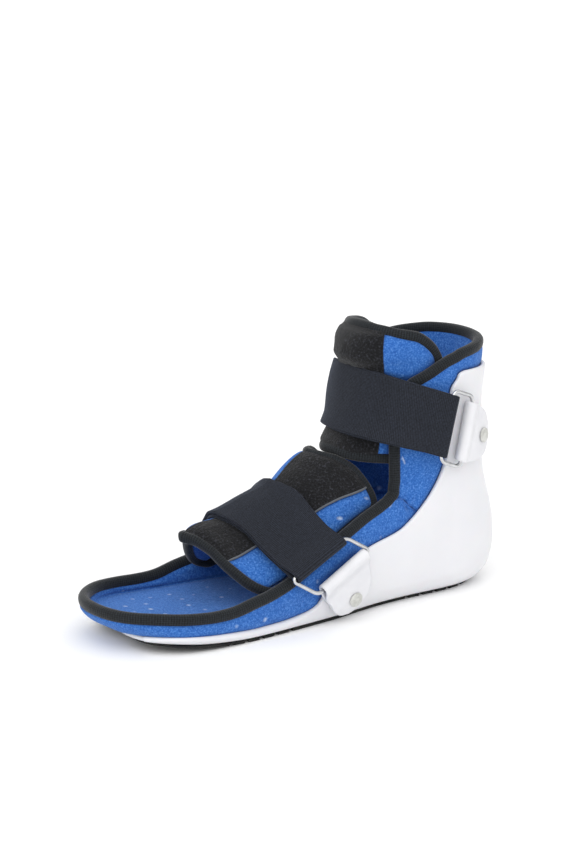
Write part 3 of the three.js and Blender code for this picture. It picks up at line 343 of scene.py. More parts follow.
    def lining(self, place: Array, level: Array) -> Array:
        """Return the liner's inner skin, with a full corner of its own."""
        place, level = pair(place, level)
        x, cos, sin, _ = self.fan(place)
        foot = self.skin(place, np.ones_like(level), -self.liner_wall)
        turn = np.clip(level, 0, 1) * math.pi / 2
        pull = np.maximum(self.edge_inset(np.abs(place)) - self.liner_wall / 2, 1)
        r = np.hypot(foot[..., 0] - x, foot[..., 1]) - pull * (1 - np.sin(turn))
        r = r * np.clip(1 + level, 0, 1)
        px = x + r * cos
        lift = (self.edge_radius - self.liner_wall) * (1 - np.cos(turn))
        low = np.stack([px, r * sin, self.floor + self.liner_wall + lift + self.spring(px)],
                       axis=-1)
        high = self.skin(place, level, -self.liner_wall)
        return np.where((level >= 1)[..., None], high, low)


# Meshes

class Maker:
    """Turns worked-out grids and runs into Blender objects in the part's frame."""

    def __init__(self, form: Form) -> None:
        """Keep where the form's origin places every piece."""
        self.shift = np.array(form.origin)

    def mesh(self, name: str, points: Array, faces: Sequence[Sequence[int]], uv: Array | None,
             slot: Slot, finish: Material) -> Piece:
        """Make an object from points in millimetres.

        Args:
            name: The piece's name.
            points: The points, before the part is centred.
            faces: The faces' corners.
            uv: One pair for each face corner in order, in millimetres, or None.
            slot: The material slot.
            finish: The material.

        Returns:
            The new object, riding on the boot's one body.
        """
        data = bpy.data.meshes.new(name)
        data.from_pydata(((points + self.shift) / 1000).tolist(), [], faces)
        if uv is not None:
            layer = data.uv_layers.new(name="cloth")
            layer.data.foreach_set("uv", (np.asarray(uv) / 1000).ravel())
        data.validate()
        bm = bmesh.new()
        bm.from_mesh(data)
        bmesh.ops.remove_doubles(bm, verts=bm.verts, dist=2e-6)
        bmesh.ops.dissolve_degenerate(bm, edges=bm.edges, dist=1e-6)
        bmesh.ops.recalc_face_normals(bm, faces=bm.faces)
        bm.to_mesh(data)
        bm.free()
        data.materials.append(finish)
        data.polygons.foreach_set("use_smooth", [True] * len(data.polygons))
        obj = bpy.data.objects.new(name, data)
        bpy.context.scene.collection.objects.link(obj)
        return self.enrol(obj, slot)

    @staticmethod
    def enrol(obj: Piece, slot: Slot) -> Piece:
        """Let a piece ride on the boot's one body and log its face count."""
        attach(obj, "root")
        log.info("%s: %d faces", obj.name, len(obj.data.polygons))
        return obj

    def shell_of(self, name: str, outer: Array, inner: Array, slot: Slot,
                 finish: Material, ring: bool = False, bowl: bool = False,
                 lip: int = 4, square: float = 2.6, flat: int = 0) -> Piece:
        """Make a closed sheet between two skins, with rounded edges.

        Args:
            name: The piece's name.
            outer: Grid of points on the outer side, columns by rows.
            inner: The same grid on the inner side.
            slot: The material slot.
            finish: The material.
            ring: Whether the columns close on themselves.
            bowl: Whether row 0 is one closed point with no edge.
            lip: Steps round each edge.
            square: Roundness of the edge, 2 for a half circle, more for a squarer one.
            flat: How many first rows lie flat, so that their cloth map is a plan view.

        Returns:
            The new object.
        """
        n, m = outer.shape[:2]
        points = [outer.reshape(-1, 3), inner.reshape(-1, 3)]
        u = lengths(outer, 0)
        v = lengths(outer, 1)
        ident = lambda i, j, side: side * n * m + (i % n if ring else i) * m + j
        faces, uv = [], []
        u_end = float(np.max(u[-1])) + float(np.linalg.norm(outer[0, -1] - outer[-1, -1]))
        # one width for all rows, so that the cloth's pattern runs true
        u_mean = u[:, flat:].mean(axis=1)
        at = lambda i, j: ((u_end if ring and i == n else u_mean[i % n if ring else i]),
                           v[i % n if ring else i, j])
        plan = lambda i, j: (inner[i % n, j, 0], inner[i % n, j, 1])
        span = n if ring else n - 1
        for i in range(span):
            for j in range(m - 1):
                quad = [(i, j), (i + 1, j), (i + 1, j + 1), (i, j + 1)]
                seen = plan if j + 1 <= flat else at
                faces.append([ident(a, b, 0) for a, b in quad])
                uv.extend(seen(a, b) for a, b in quad)
                quad = quad[::-1]
                faces.append([ident(a, b, 1) for a, b in quad])
                uv.extend(seen(a, b) for a, b in quad)
        if ring:
            loops = [[(i, m - 1) for i in range(n)]]
            if not bowl:
                loops.append([(i, 0) for i in range(n)])
        else:
            loops = [[(i, 0) for i in range(n)] + [(n - 1, j) for j in range(1, m)]
                     + [(i, m - 1) for i in range(n - 2, -1, -1)]
                     + [(0, j) for j in range(m - 2, 0, -1)]]

        def corner(c: int, step: int) -> int:
            """Return the point at a place of the loop and a step round the edge."""
            if 0 < step < lip:
                return base + c * (lip - 1) + step - 1
            return ident(*loop[c], step // lip)

        base = 2 * n * m
        for loop in loops:
            points.append(rounded_edge(outer, inner, loop, ring, lip, square).reshape(-1, 3))
            for a in range(len(loop)):
                b = (a + 1) % len(loop)
                for k in range(lip):
                    steps = ((a, k), (b, k), (b, k + 1), (a, k + 1))
                    faces.append([corner(c, step) for c, step in steps])
                    for c, step in steps:
                        pu, pv = at(*loop[c])
                        if ring and b == 0 and c == b:
                            pu = u_end
                        uv.append((pu, pv + step * 0.5))
            base += len(loop) * (lip - 1)
        return self.mesh(name, np.concatenate(points), faces, uv, slot, finish)

    def tape(self, name: str, path: Array, normals: Array, section: Array, slot: Slot,
             finish: Material) -> Piece:
        """Make a closed run with a given section.

        Args:
            name: The piece's name.
            path: Points of the closed run.
            normals: Outward directions there.
            section: Pairs beside and out, in millimetres, anticlockwise.
            slot: The material slot.
            finish: The material.

        Returns:
            The new object, with cloth coordinates along and round the run.
        """
        n, k = len(path), len(section)
        ahead = unit(np.roll(path, -1, axis=0) - np.roll(path, 1, axis=0))
        beside = unit(np.cross(ahead, normals))
        out = unit(np.cross(beside, ahead))
        points = (path[:, None] + beside[:, None] * section[None, :, 0:1]
                  + out[:, None] * section[None, :, 1:2])
        run = np.concatenate([[0], np.cumsum(np.linalg.norm(
            np.roll(path, -1, axis=0) - path, axis=1))])
        girth = np.concatenate([[0], np.cumsum(np.linalg.norm(
            np.roll(section, -1, axis=0) - section, axis=1))])
        faces, uv = [], []
        for i in range(n):
            for j in range(k):
                a, b = (i + 1) % n, (j + 1) % k
                faces.append([i * k + j, i * k + b, a * k + b, a * k + j])
                uv.extend([(run[i], girth[j]), (run[i], girth[j + 1]),
                           (run[i + 1], girth[j + 1]), (run[i + 1], girth[j])])
        return self.mesh(name, points.reshape(-1, 3), faces, uv, slot, finish)


def rounded_edge(outer: Array, inner: Array, loop: Sequence[tuple], ring: bool, lip: int,
                 square: float) -> Array:
    """Return the points of a rounded edge between two skins.

    Args:
        outer: Grid of points on the outer side.
        inner: The same grid on the inner side.
        loop: The grid's places along the edge.
        ring: Whether the columns close on themselves.
        lip: Steps round the edge.
        square: Roundness, 2 for a half circle, more for a squarer edge.

    Returns:
        A row of points for each place.
    """
    n, m = outer.shape[:2]
    i, j = np.array(loop).T
    back = i if ring else np.clip(i, 1, n - 2), np.clip(j, 1, m - 2)
    centre, across = (outer[i, j] + inner[i, j]) / 2, (outer[i, j] - inner[i, j]) / 2
    away = unit(centre - (outer[back] + inner[back]) / 2)
    dot = lambda a, b: np.sum(a * b, axis=-1, keepdims=True)
    away = unit(away - across * dot(away, across) / np.maximum(dot(across, across), 1e-9))
    away = away * np.linalg.norm(across, axis=-1, keepdims=True)
    turn = math.pi * np.arange(1, lip) / lip
    c, s = np.cos(turn), np.sin(turn)
    r = (np.abs(c) ** square + np.abs(s) ** square) ** (-1 / square)
    return (centre[:, None] + across[:, None] * (c * r)[None, :, None]
            + away[:, None] * (s * r)[None, :, None])


def smooth_run(points: Array, normals: Array, step: float) -> tuple:
    """Resample a closed run of points and directions at even steps.

    Args:
        points: The closed run, without its first point repeated.
        normals: A direction at each point.
        step: Distance between the new points.

    Returns:
        New points and directions.
    """
    ring = lambda a, k: np.roll(a, -k, axis=0)
    dense, turned = [], []
    p0, p1, p2, p3 = ring(points, -1), points, ring(points, 1), ring(points, 2)
    gap = lambda a, b: np.sqrt(np.linalg.norm(b - a, axis=1, keepdims=True)) + 1e-6
    t1, t2, t3 = gap(p0, p1), gap(p1, p2), gap(p2, p3)
    m1 = (p2 - p1) + t2 * ((p1 - p0) / t1 - (p2 - p0) / (t1 + t2))
    m2 = (p2 - p1) + t2 * ((p3 - p2) / t3 - (p3 - p1) / (t2 + t3))
    for s in np.linspace(0, 1, 12, endpoint=False):
        h = (2 * s ** 3 - 3 * s ** 2 + 1, s ** 3 - 2 * s ** 2 + s,
             -2 * s ** 3 + 3 * s ** 2, s ** 3 - s ** 2)
        dense.append(h[0] * p1 + h[1] * m1 + h[2] * p2 + h[3] * m2)
        turned.append(normals * (1 - s) + ring(normals, 1) * s)
    fine = np.stack(dense, axis=1).reshape(-1, 3)
    turn = np.stack(turned, axis=1).reshape(-1, 3)
    along = np.concatenate([[0], np.cumsum(np.linalg.norm(ring(fine, 1) - fine, axis=1))])
    count = int(along[-1] / step)
    at = np.linspace(0, along[-1], count, endpoint=False)
    closed = np.concatenate([fine, fine[:1]])
    turn = np.concatenate([turn, turn[:1]])
    pick = lambda a: np.stack([np.interp(at, along, a[:, c]) for c in range(3)], axis=1)
    return pick(closed), unit(pick(turn))


# Finishes

def linear(colour: str) -> tuple:
    """Turn an sRGB hex colour into the linear one that a shader takes."""
    parts = [int(colour[i:i + 2], 16) / 255 for i in (1, 3, 5)]
    return tuple(c / 12.92 if c <= 0.04045 else ((c + 0.055) / 1.055) ** 2.4
                 for c in parts) + (1.0,)


def node(tree: Tree, kind: str, settings: dict | None = None,
         inputs: dict | None = None) -> bpy.types.Node:
    """Add a node with its settings, values and links.

    Args:
        tree: The material's node tree.
        kind: The node's type.
        settings: Attributes to set on the node.
        inputs: Input name or number to a value, or to the socket that feeds it.

    Returns:
        The new node.
    """
    new = tree.nodes.new(kind)
    for key, value in (settings or {}).items():
        setattr(new, key, value)
    for key, value in (inputs or {}).items():
        socket = new.inputs[key]
        if isinstance(value, Socket):
            tree.links.new(value, socket)
        else:
            socket.default_value = value
    return new


def ramp(tree: Tree, value: Socket,
         stops: Sequence[tuple]) -> Socket:
    """Turn a value into a colour by stops of place and linear colour."""
    new = node(tree, "ShaderNodeValToRGB", inputs={"Fac": value})
    # slot: The material slot.
    band = new.color_ramp
    while len(band.elements) > 1:
        band.elements.remove(band.elements[-1])
    band.elements[0].position, band.elements[0].color = stops[0]
    for place, colour in stops[1:]:
        band.elements.new(place).color = colour
    return new.outputs["Color"]


def grey(v: float) -> tuple:
    """Return a grey as a colour."""
    return (v, v, v, 1.0)


def maths(tree: Tree, kind: str, a: object, b: object = 0.0,
          c: object = 0.0, clamp: bool = False) -> Socket:
    """Work out one number from two or three, each a value or a socket."""
    new = node(tree, "ShaderNodeMath", {"operation": kind, "use_clamp": clamp},
               {0: a, 1: b, 2: c})
    return new.outputs[0]


def blend(tree: Tree, share: object, a: object, b: object) -> Socket:
    """Mix two colours by a share."""
    new = node(tree, "ShaderNodeMix", {"data_type": "RGBA"})
    for socket, value in ((new.inputs[0], share), (new.inputs[6], a), (new.inputs[7], b)):
        if isinstance(value, Socket):
            tree.links.new(value, socket)
        else:
            socket.default_value = value
    return new.outputs[2]


class Ground(Enum):
    """What a pattern is laid out on."""

    SPACE = "Object"
    CLOTH = "UV"


class Finish:
    """A material under way: its tree, its shader, and the places its patterns read."""

    def __init__(self, name: str, rough: float, **fixed: object) -> None:
        """Start a material with the shader's fixed values.

        Args:
            name: The material's name.
            rough: Roughness of the surface.
            **fixed: Shader inputs that are the same all over, words joined by underscores.
        """
        self.material = bpy.data.materials.new(name)
        self.material.use_nodes = True
        self.tree = self.material.node_tree
        self.tree.nodes.clear()
        self.shader = node(self.tree, "ShaderNodeBsdfPrincipled")
        self.shader.inputs["Roughness"].default_value = rough
        for key, value in fixed.items():
            self.shader.inputs[key.replace("_", " ")].default_value = value
        node(self.tree, "ShaderNodeOutputMaterial", inputs={"Surface": self.shader.outputs[0]})
        self.places = node(self.tree, "ShaderNodeTexCoord")

    def noise(self, mm: float, detail: float = 2.0, rough: float = 0.5,
              stretch: tuple = (1, 1, 1)) -> Socket:
        """Return a cloudy value with features of about that many millimetres."""
        places = node(self.tree, "ShaderNodeMapping", inputs={
            "Vector": self.places.outputs[Ground.SPACE.value], "Scale": stretch})
        new = node(self.tree, "ShaderNodeTexNoise", inputs={
            "Vector": places.outputs[0], "Scale": 1000 / mm, "Detail": detail,
            "Roughness": rough})
        return new.outputs["Fac"]

    def cells(self, mm: float, feature: str = "F1", loose: float = 1.0,
              ground: Ground = Ground.SPACE) -> Socket:
        """Return the distance to the nearest of points about that many millimetres apart."""
        new = node(self.tree, "ShaderNodeTexVoronoi", {"feature": feature}, {
            "Vector": self.places.outputs[ground.value], "Scale": 1000 / mm,
            "Randomness": loose})
        return new.outputs["Distance"]

    def waves(self, mm: float, along: str = "X", twist: float = 0.0) -> Socket:
        """Return even ribs across the cloth's own map, a rib every so many millimetres."""
        new = node(self.tree, "ShaderNodeTexWave", {
            "wave_type": "BANDS", "bands_direction": along, "wave_profile": "SIN"}, {
            "Vector": self.places.outputs[Ground.CLOTH.value], "Scale": 100 * math.pi / mm,
            "Distortion": twist, "Detail": 1.0, "Detail Scale": 2.0})
        return new.outputs["Fac"]

    def edge_line(self, mm: float) -> Socket:
        """Return 1 within so many millimetres of the cloth's first edge."""
        across = node(self.tree, "ShaderNodeSeparateXYZ", inputs={
            0: self.places.outputs[Ground.CLOTH.value]}).outputs["X"]
        return self.maths("LESS_THAN", self.maths("ABSOLUTE", across), mm / 1000)

    def bump(self, height: Socket, mm: float, strength: float = 1.0,
             under: Socket | None = None) -> Socket:
        """Return normals raised by a height of up to so many millimetres."""
        new = node(self.tree, "ShaderNodeBump", inputs={
            "Height": height, "Distance": mm / 1000, "Strength": strength})
        if under is not None:
            self.tree.links.new(under, new.inputs["Normal"])
        return new.outputs["Normal"]

    def maths(self, kind: str, a: object, b: object = 0.0,
              clamp: bool = False) -> Socket:
        """Work out one number from one or two, each a value or a socket."""
        return maths(self.tree, kind, a, b, clamp=clamp)

    def weigh(self, a: Socket, share_a: float, b: Socket,
              share_b: float) -> Socket:
        """Return the sum of two values, each times its share."""
        return self.maths("ADD", self.maths("MULTIPLY", a, share_a),
                          self.maths("MULTIPLY", b, share_b))

    def tint(self, value: Socket, *stops: tuple) -> Socket:
        """Turn a value into a colour by stops of place and sRGB hex colour."""
        return ramp(self.tree, value, [(at, linear(colour)) for at, colour in stops])

    def shade(self, value: Socket, *stops: tuple) -> Socket:
        """Turn a value into a grey by stops of place and brightness."""
        return ramp(self.tree, value, [(at, grey(v)) for at, v in stops])

    def stain(self, base: Socket, where: Socket, share: float,
              colour: str) -> Socket:
        """Lay a colour over another, by a share of a value."""
        return blend(self.tree, self.maths("MULTIPLY", where, share), base, linear(colour))

    def set(self, key: str, value: Socket) -> None:
        """Feed one of the shader's inputs."""
        self.tree.links.new(value, self.shader.inputs[key])


@dataclass(frozen=True)
class MouldedShell:
    """Moulded polypropylene, satin: soft highlights, faint sink and handling marks."""

    white: str = "#e3e3e6"
    dull: str = "#dedee2"
    scuff: str = "#c9c8c8"
    rough: float = 0.34

    def make(self) -> Material:
        """Build the shell's material."""
        f = Finish("moulded_polypropylene_white", self.rough, Specular_IOR_Level=0.45,
                   Coat_Weight=0.12, Coat_Roughness=0.25, Subsurface_Weight=0.06,
                   Subsurface_Scale=0.004)
        base = f.tint(f.noise(38, 3), (0.3, self.dull), (0.7, self.white))
        marks = f.maths("GREATER_THAN", f.noise(2.2, 4, 0.7, stretch=(1, 1, 0.35)), 0.73)
        f.set("Base Color", f.stain(base, marks, 0.12, self.scuff))
        f.set("Roughness", f.shade(f.noise(9, 3), (0.35, self.rough - 0.05),
                                   (0.7, self.rough + 0.08)))
        sink = f.bump(f.noise(30, 1), 0.5, 0.35)
        f.set("Normal", f.bump(f.noise(0.9, 2), 0.02, 0.5, sink))
        return f.material


@dataclass(frozen=True)
class SoleRubber:
    """Moulded rubber, matt: near black with dusty worn places."""

    black: str = "#17181a"
    dust: str = "#34342f"
    rough: float = 0.78

    def make(self) -> Material:
        """Build the sole's material."""
        f = Finish("moulded_rubber_black", self.rough, Specular_IOR_Level=0.35)
        f.set("Base Color", f.tint(f.noise(12, 4, 0.6), (0.42, self.black), (0.85, self.dust)))
        f.set("Normal", f.bump(f.noise(0.5, 3), 0.06, 0.6))
        return f.material


@dataclass(frozen=True)
class BrushedPile:
    """Brushed knit over foam, royal blue: soft nap, pale breathing pricks in rows, and painted
    shade darkening it in folds and against the tape.
    """

    blue: str = "#366fbe"
    deep: str = "#22509f"
    light: str = "#6296dc"
    prick: str = "#bccfee"
    shadow: str = "#123272"
    # how far the painted shade looks for nearby surfaces, in millimetres
    painted_shade_reach: float = 5.0
    prick_pitch: float = 12.5
    prick_size: float = 1.15

    def make(self) -> Material:
        """Build the liner's material."""
        f = Finish("brushed_pile_blue", 0.95, Specular_IOR_Level=0.15, Sheen_Weight=0.35,
                   Sheen_Roughness=0.5, Sheen_Tint=linear("#a8c6f4"))
        nap, drift = f.noise(1.1, 4, 0.7), f.noise(16, 3)
        base = f.tint(nap, (0.33, self.deep), (0.5, self.blue), (0.69, self.light))
        base = f.stain(base, drift, 0.35, self.deep)
        # the pricks are small holes in rows, their rims catching pale fluff
        far = f.cells(self.prick_pitch, loose=0.45, ground=Ground.CLOTH)
        wobble = f.maths("SUBTRACT", f.maths("MULTIPLY", f.noise(1.0, 2), 1.1), 0.55)
        far = f.maths("ADD", f.maths("MULTIPLY", far, self.prick_pitch), wobble)
        spot = f.maths("DIVIDE", far, self.prick_size * 1.7, clamp=True)
        spot = f.maths("SUBTRACT", 1.0, spot, clamp=True)
        base = blend(f.tree, f.maths("MULTIPLY", spot, 1.15, clamp=True), base,
                     linear(self.prick))
        # painted shade: the pile's colour is darkened toward the shadow blue in folds and against
        # the tape, wherever other surfaces lie close
        open_air = node(f.tree, "ShaderNodeAmbientOcclusion", {"samples": 6}, {
            "Distance": self.painted_shade_reach / 1000}).outputs["AO"]
        painted_shade = f.maths("MULTIPLY", f.maths("SUBTRACT", 0.88, open_air, clamp=True), 1.5,
                       clamp=True)
        f.set("Base Color", blend(f.tree, painted_shade, base, linear(self.shadow)))
        dent = f.bump(spot, 1.2, 0.7)
        dent.node.invert = True
        soft = f.bump(f.noise(4.5, 3), 0.6, 0.5, dent)
        f.set("Normal", f.bump(f.noise(0.45, 3, 0.8), 0.35, 0.9, soft))
        return f.material


@dataclass(frozen=True)
class KnitTape:
    """Stretch knit binding tape, charcoal: fine ribs along it, courses across, some fuzz."""

    dark: str = "#08090b"
    light: str = "#2e3338"
    rib: float = 1.2
    course: float = 1.5

    def make(self) -> Material:
        """Build the binding's material."""
        f = Finish("stretch_knit_tape_charcoal", 0.85, Specular_IOR_Level=0.25,
                   Sheen_Weight=0.25, Sheen_Roughness=0.4)
        knit = f.weigh(f.waves(self.rib, "Y", 1.5), 0.3, f.waves(self.course, "X", 1.5), 0.5)
        tone = f.weigh(knit, 0.4, f.noise(1.0, 4, 0.85), 0.75)
        f.set("Base Color", f.tint(tone, (0.35, self.dark), (0.85, self.light)))
        low = f.bump(f.noise(7, 2), 0.5, 0.4)
        f.set("Normal", f.bump(tone, 0.25, 0.8, low))
        return f.material


@dataclass(frozen=True)
class LoopPile:
    """Loop pile for a hook strap, black: a dense crumbly nap with grey glints."""

    black: str = "#050507"
    brown: str = "#121317"
    glint: str = "#41424a"
    trim: str = "#6c7178"
    trim_width: float = 0.0

    def make(self) -> Material:
        """Build the loop patches' material."""
        name = "loop_pile_black_trimmed" if self.trim_width else "loop_pile_black"
        f = Finish(name, 1.0, Specular_IOR_Level=0.12, Sheen_Weight=0.15,
                   Sheen_Roughness=0.6)
        tone = f.weigh(f.cells(1.1, "SMOOTH_F1"), 0.45, f.noise(0.9, 4, 0.85), 0.75)
        base = f.tint(tone, (0.42, self.black), (0.62, self.brown), (0.86, self.glint))
        if self.trim_width:
            base = f.stain(base, f.edge_line(self.trim_width), 0.8, self.trim)
        f.set("Base Color", base)
        f.set("Normal", f.bump(tone, 0.6, 0.9))
        return f.material


@dataclass(frozen=True)
class ElasticWeb:
    """Woven elastic, blue black: fine cords along the band, tighter picks across it."""

    dark: str = "#0c0e12"
    light: str = "#343946"
    cord: float = 1.0
    pick: float = 0.8

    def make(self) -> Material:
        """Build the straps' material."""
        f = Finish("woven_elastic_blue_black", 0.82, Specular_IOR_Level=0.25,
                   Sheen_Weight=0.3, Sheen_Roughness=0.35, Sheen_Tint=linear("#8793ab"))
        weave = f.maths("MULTIPLY", f.waves(self.cord, "X", 0.5), f.waves(self.pick, "Y", 0.5))
        tone = f.weigh(weave, 0.4, f.noise(1.1, 4, 0.85), 0.75)
        base = f.tint(tone, (0.3, self.dark), (0.75, self.light))
        f.set("Base Color", f.stain(base, f.noise(22, 2), 0.3, self.dark))
        low = f.bump(f.noise(10, 2), 0.6, 0.35)
        f.set("Normal", f.bump(tone, 0.3, 0.8, low))
        return f.material


@dataclass(frozen=True)
class PlatedWire:
    """Nickel plated steel wire: bright, with faint drawing lines."""

    metal: str = "#d6d7d8"
    worn: str = "#bfc0c1"
    rough: float = 0.16

    def make(self) -> Material:
        """Build the rings' material."""
        f = Finish("nickel_plated_steel", self.rough, Metallic=1.0)
        f.set("Base Color", f.tint(f.noise(5, 3), (0.3, self.worn), (0.6, self.metal)))
        f.set("Roughness", f.shade(f.noise(1.5, 3), (0.3, self.rough), (0.8, self.rough + 0.12)))
        return f.material


@dataclass(frozen=True)
class VinylStrip:
    """Coated vinyl strip, white: smooth, a little duller in places."""

    white: str = "#e3e3e6"
    dull: str = "#dcdce0"
    rough: float = 0.42

    def make(self) -> Material:
        """Build the tabs' material."""
        f = Finish("coated_vinyl_white", self.rough, Specular_IOR_Level=0.45)
        f.set("Base Color", f.tint(f.noise(14, 3), (0.3, self.dull), (0.65, self.white)))
        low = f.bump(f.noise(8, 2), 0.4, 0.3)
        f.set("Normal", f.bump(f.noise(0.7, 2), 0.03, 0.6, low))
        return f.material


@dataclass(frozen=True)
class RivetCap:
    """Enamelled aluminium rivet, off white, rubbed greyer in places."""

    enamel: str = "#cfcfca"
    rubbed: str = "#b9b9b3"
    rough: float = 0.34

    def make(self) -> Material:
        """Build the rivets' material."""
        f = Finish("enamelled_aluminium_off_white", self.rough, Metallic=0.25)
        f.set("Base Color", f.tint(f.noise(2.5, 4), (0.3, self.rubbed), (0.6, self.enamel)))
        f.set("Normal", f.bump(f.noise(0.6, 2), 0.03, 0.5))
        return f.material


# The boot's pieces

def select_only(*chosen: Piece) -> None:
    """Select these objects alone and make the first one active."""
    bpy.ops.object.select_all(action="DESELECT")
    for obj in chosen:
        obj.select_set(True)
    bpy.context.view_layer.objects.active = chosen[0]


RIBS = np.concatenate([np.linspace(0, 0.95, 30), np.linspace(0.97, 1.28, 40),
                       np.linspace(1.3, 1.7, 34), np.linspace(1.72, 2.0, 14),
                       np.linspace(2.02, 3.0, 44)])


def ring_of(half: Array) -> Array:
    """Return places round the whole form from those of one side."""
    return np.concatenate([-half[1:][::-1], half[:-1]])


@dataclass
class Hull:
    """The moulded shell and the rubber sole under it."""

    form: Form
    maker: Maker
    rows: int = 60
    open_lip: float = 0.02          # levels of rim where the toes leave the plate open
    rim_start: float = 0.16         # levels in from the edge where the foot rim starts
    sole_margin: float = 1.6
    corner_fill: float = 1.3
    skirt: float = 1.7
    rocker_x: float = -50.0
    rocker_run: float = 62.0
    rocker_lift: float = 2.3
    tread_depth: float = 1.6
    tread_groove: float = 3.4
    tread_pitch: float = 11.0
    heel_tread_reach: float = 25.5

    def __post_init__(self) -> None:
        """Set up how far the sole is set back from the plate at the toes."""
        self.nose = Track([(0, 0), (2.2, 0), (2.5, 0.05), (2.75, 0.12), (3, 0.16)], 0, 1)

    def rocker(self, x: Array) -> Array:
        """Return how far along its rise toward the toes the sole is at x, from 0 to 1."""
        t = np.clip((self.rocker_x - x) / self.rocker_run, 0, 1)
        return t * t * (3 - 2 * t)

    def levels(self, top: Array) -> Array:
        """Return each rib's rows of levels, even in length up to its top.

        Args:
            top: The highest level of each rib.

        Returns:
            Grid of levels, ribs by rows.
        """
        low = np.minimum(0, top - self.open_lip)
        t = np.linspace(0, 1, self.rows) ** 1.15
        up = self.form.level_rows(top, t)
        up = np.where(top[:, None] <= 0, low[:, None] + self.open_lip * t[None], up)
        floor = np.linspace(-1, 0, 9)[None, :-1]
        under = -1 + (floor + 1) * (low[:, None] + 1)
        return np.concatenate([under, up], axis=1)

    def shell(self) -> Piece:
        """Build the moulded shell; it stands for the CAD's faceted one."""
        places = ring_of(RIBS)
        f = self.form
        setback = f.plate_setback(np.abs(places))
        top = np.where(setback > 0.001, -setback, f.level_of(f.shell_height(np.abs(places))))
        grid = self.levels(top)
        at = np.broadcast_to(places[:, None], grid.shape)
        outer = f.skin(at, grid, f.skin_to_shell)
        start = np.minimum(-self.rim_start, top - self.rim_start)[:, None]
        rim = np.clip(np.minimum((grid - start) / 0.05, 1 - (grid - 0.1) / 0.75), 0, 1)
        rim = rim * rim * (3 - 2 * rim)
        _, cos, sin, _ = f.fan(at)
        out = np.stack([cos, sin, np.zeros_like(cos)], axis=-1)
        hung = rim * (1 - self.rocker(outer[..., 0]))
        outer = outer + out * (hung * self.corner_fill)[..., None]
        outer[..., 2] -= hung * self.skirt
        inner = f.skin(at, grid, f.shell_fit)
        obj = self.maker.shell_of("boot_shell", outer, inner, Slot.SHELL,
                                  MouldedShell().make(), ring=True, bowl=True, lip=5)
        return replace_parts(obj, "shell")

    def sole(self) -> Piece:
        """Build the rubber sole with its cross grooves cut by boxes."""
        places = ring_of(RIBS)
        f = self.form
        set_in = (f.plate_setback(np.abs(places)) + self.nose(np.abs(places)))[:, None]
        rows = np.array([-1, -0.85, -0.7, -0.55, -0.4, -0.28, -0.2, -0.15, -0.1, -0.04,
                         0.0])[None]
        level = -set_in + rows * (1 - set_in)
        at = np.broadcast_to(places[:, None], level.shape)
        _, cos, sin, _ = f.fan(at)
        share = np.clip((rows + 0.12) / 0.12, 0, 1) * np.ones_like(level)
        edge = np.clip((rows + 0.2) / 0.05, 0, 1) * np.ones_like(level)
        out = np.stack([cos, sin, 0 * cos], axis=-1) * (share * self.sole_margin)[..., None]
        base = f.point(at, level)
        down = f.normal(at, np.full_like(level, -0.5))
        rocker = self.rocker(base[..., 0])
        outer = base + out * 0.7 + down * (f.floor - rocker * self.rocker_lift)[..., None]
        top = f.skin_to_shell + f.layer_gap + edge * self.skirt * (1 - rocker)
        inner = base + out + down * top[..., None]
        obj = self.maker.shell_of("boot_sole", outer, inner, Slot.RUBBER, SoleRubber().make(),
                                  ring=True, bowl=True, square=5)
        self.cut_tread(obj)
        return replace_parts(obj, "outsole")

    def cut_tread(self, sole: Piece) -> None:
        """Cut the grooves across the tread, under the ball and under the heel."""
        f = self.form
        starts = ((f.ball_x - self.tread_pitch, 7), (f.ankle_x - self.heel_tread_reach, 5))
        cutters = []
        for start, count in starts:
            for k in range(count):
                bpy.ops.mesh.primitive_cube_add(size=1, location=(
                    (start + k * self.tread_pitch + f.origin[0]) / 1000, f.origin[1] / 1000, 0))
                cube = bpy.context.active_object
                cube.scale = (self.tread_groove / 1000, 0.15, self.tread_depth * 2 / 1000)
                bpy.ops.object.transform_apply(location=True, scale=True)
                bpy.ops.object.mode_set(mode="EDIT")
                bpy.ops.mesh.select_all(action="SELECT")
                bpy.ops.mesh.bevel(offset=0.0005, segments=2, affect="EDGES")
                bpy.ops.object.mode_set(mode="OBJECT")
                cutters.append(cube)
        select_only(*cutters)
        bpy.ops.object.join()
        tool = bpy.context.active_object
        select_only(sole)
        cut = sole.modifiers.new("tread", "BOOLEAN")
        cut.object, cut.operation, cut.solver = tool, "DIFFERENCE", "EXACT"
        bpy.ops.object.modifier_apply(modifier=cut.name)
        bpy.ops.object.shade_smooth_by_angle(angle=math.radians(35))
        bpy.data.objects.remove(tool, do_unlink=True)


def swell(share: Array, edge: float = 0.35) -> Array:
    """Return how full a padded cloth is at a share of the way between its sewn edges."""
    t = np.clip(np.minimum(share, 1 - share) / edge, 0, 1)
    return np.sqrt(1 - (1 - t) ** 2)


def ripple(points: Array, mm: float, seed: float) -> Array:
    """Return a smooth wavering value for points, about -1 to 1, with waves of that length."""
    p = points / mm * 2 * math.pi
    return (np.sin(p[..., 0] + 1.7 * np.sin(p[..., 1] * 0.63 + seed))
            + np.sin(p[..., 1] * 0.91 + 1.3 * np.sin(p[..., 2] * 0.71 + 2 * seed))
            + np.sin(p[..., 2] * 1.13 + 1.1 * np.sin(p[..., 0] * 0.57 + 3 * seed))) / 3


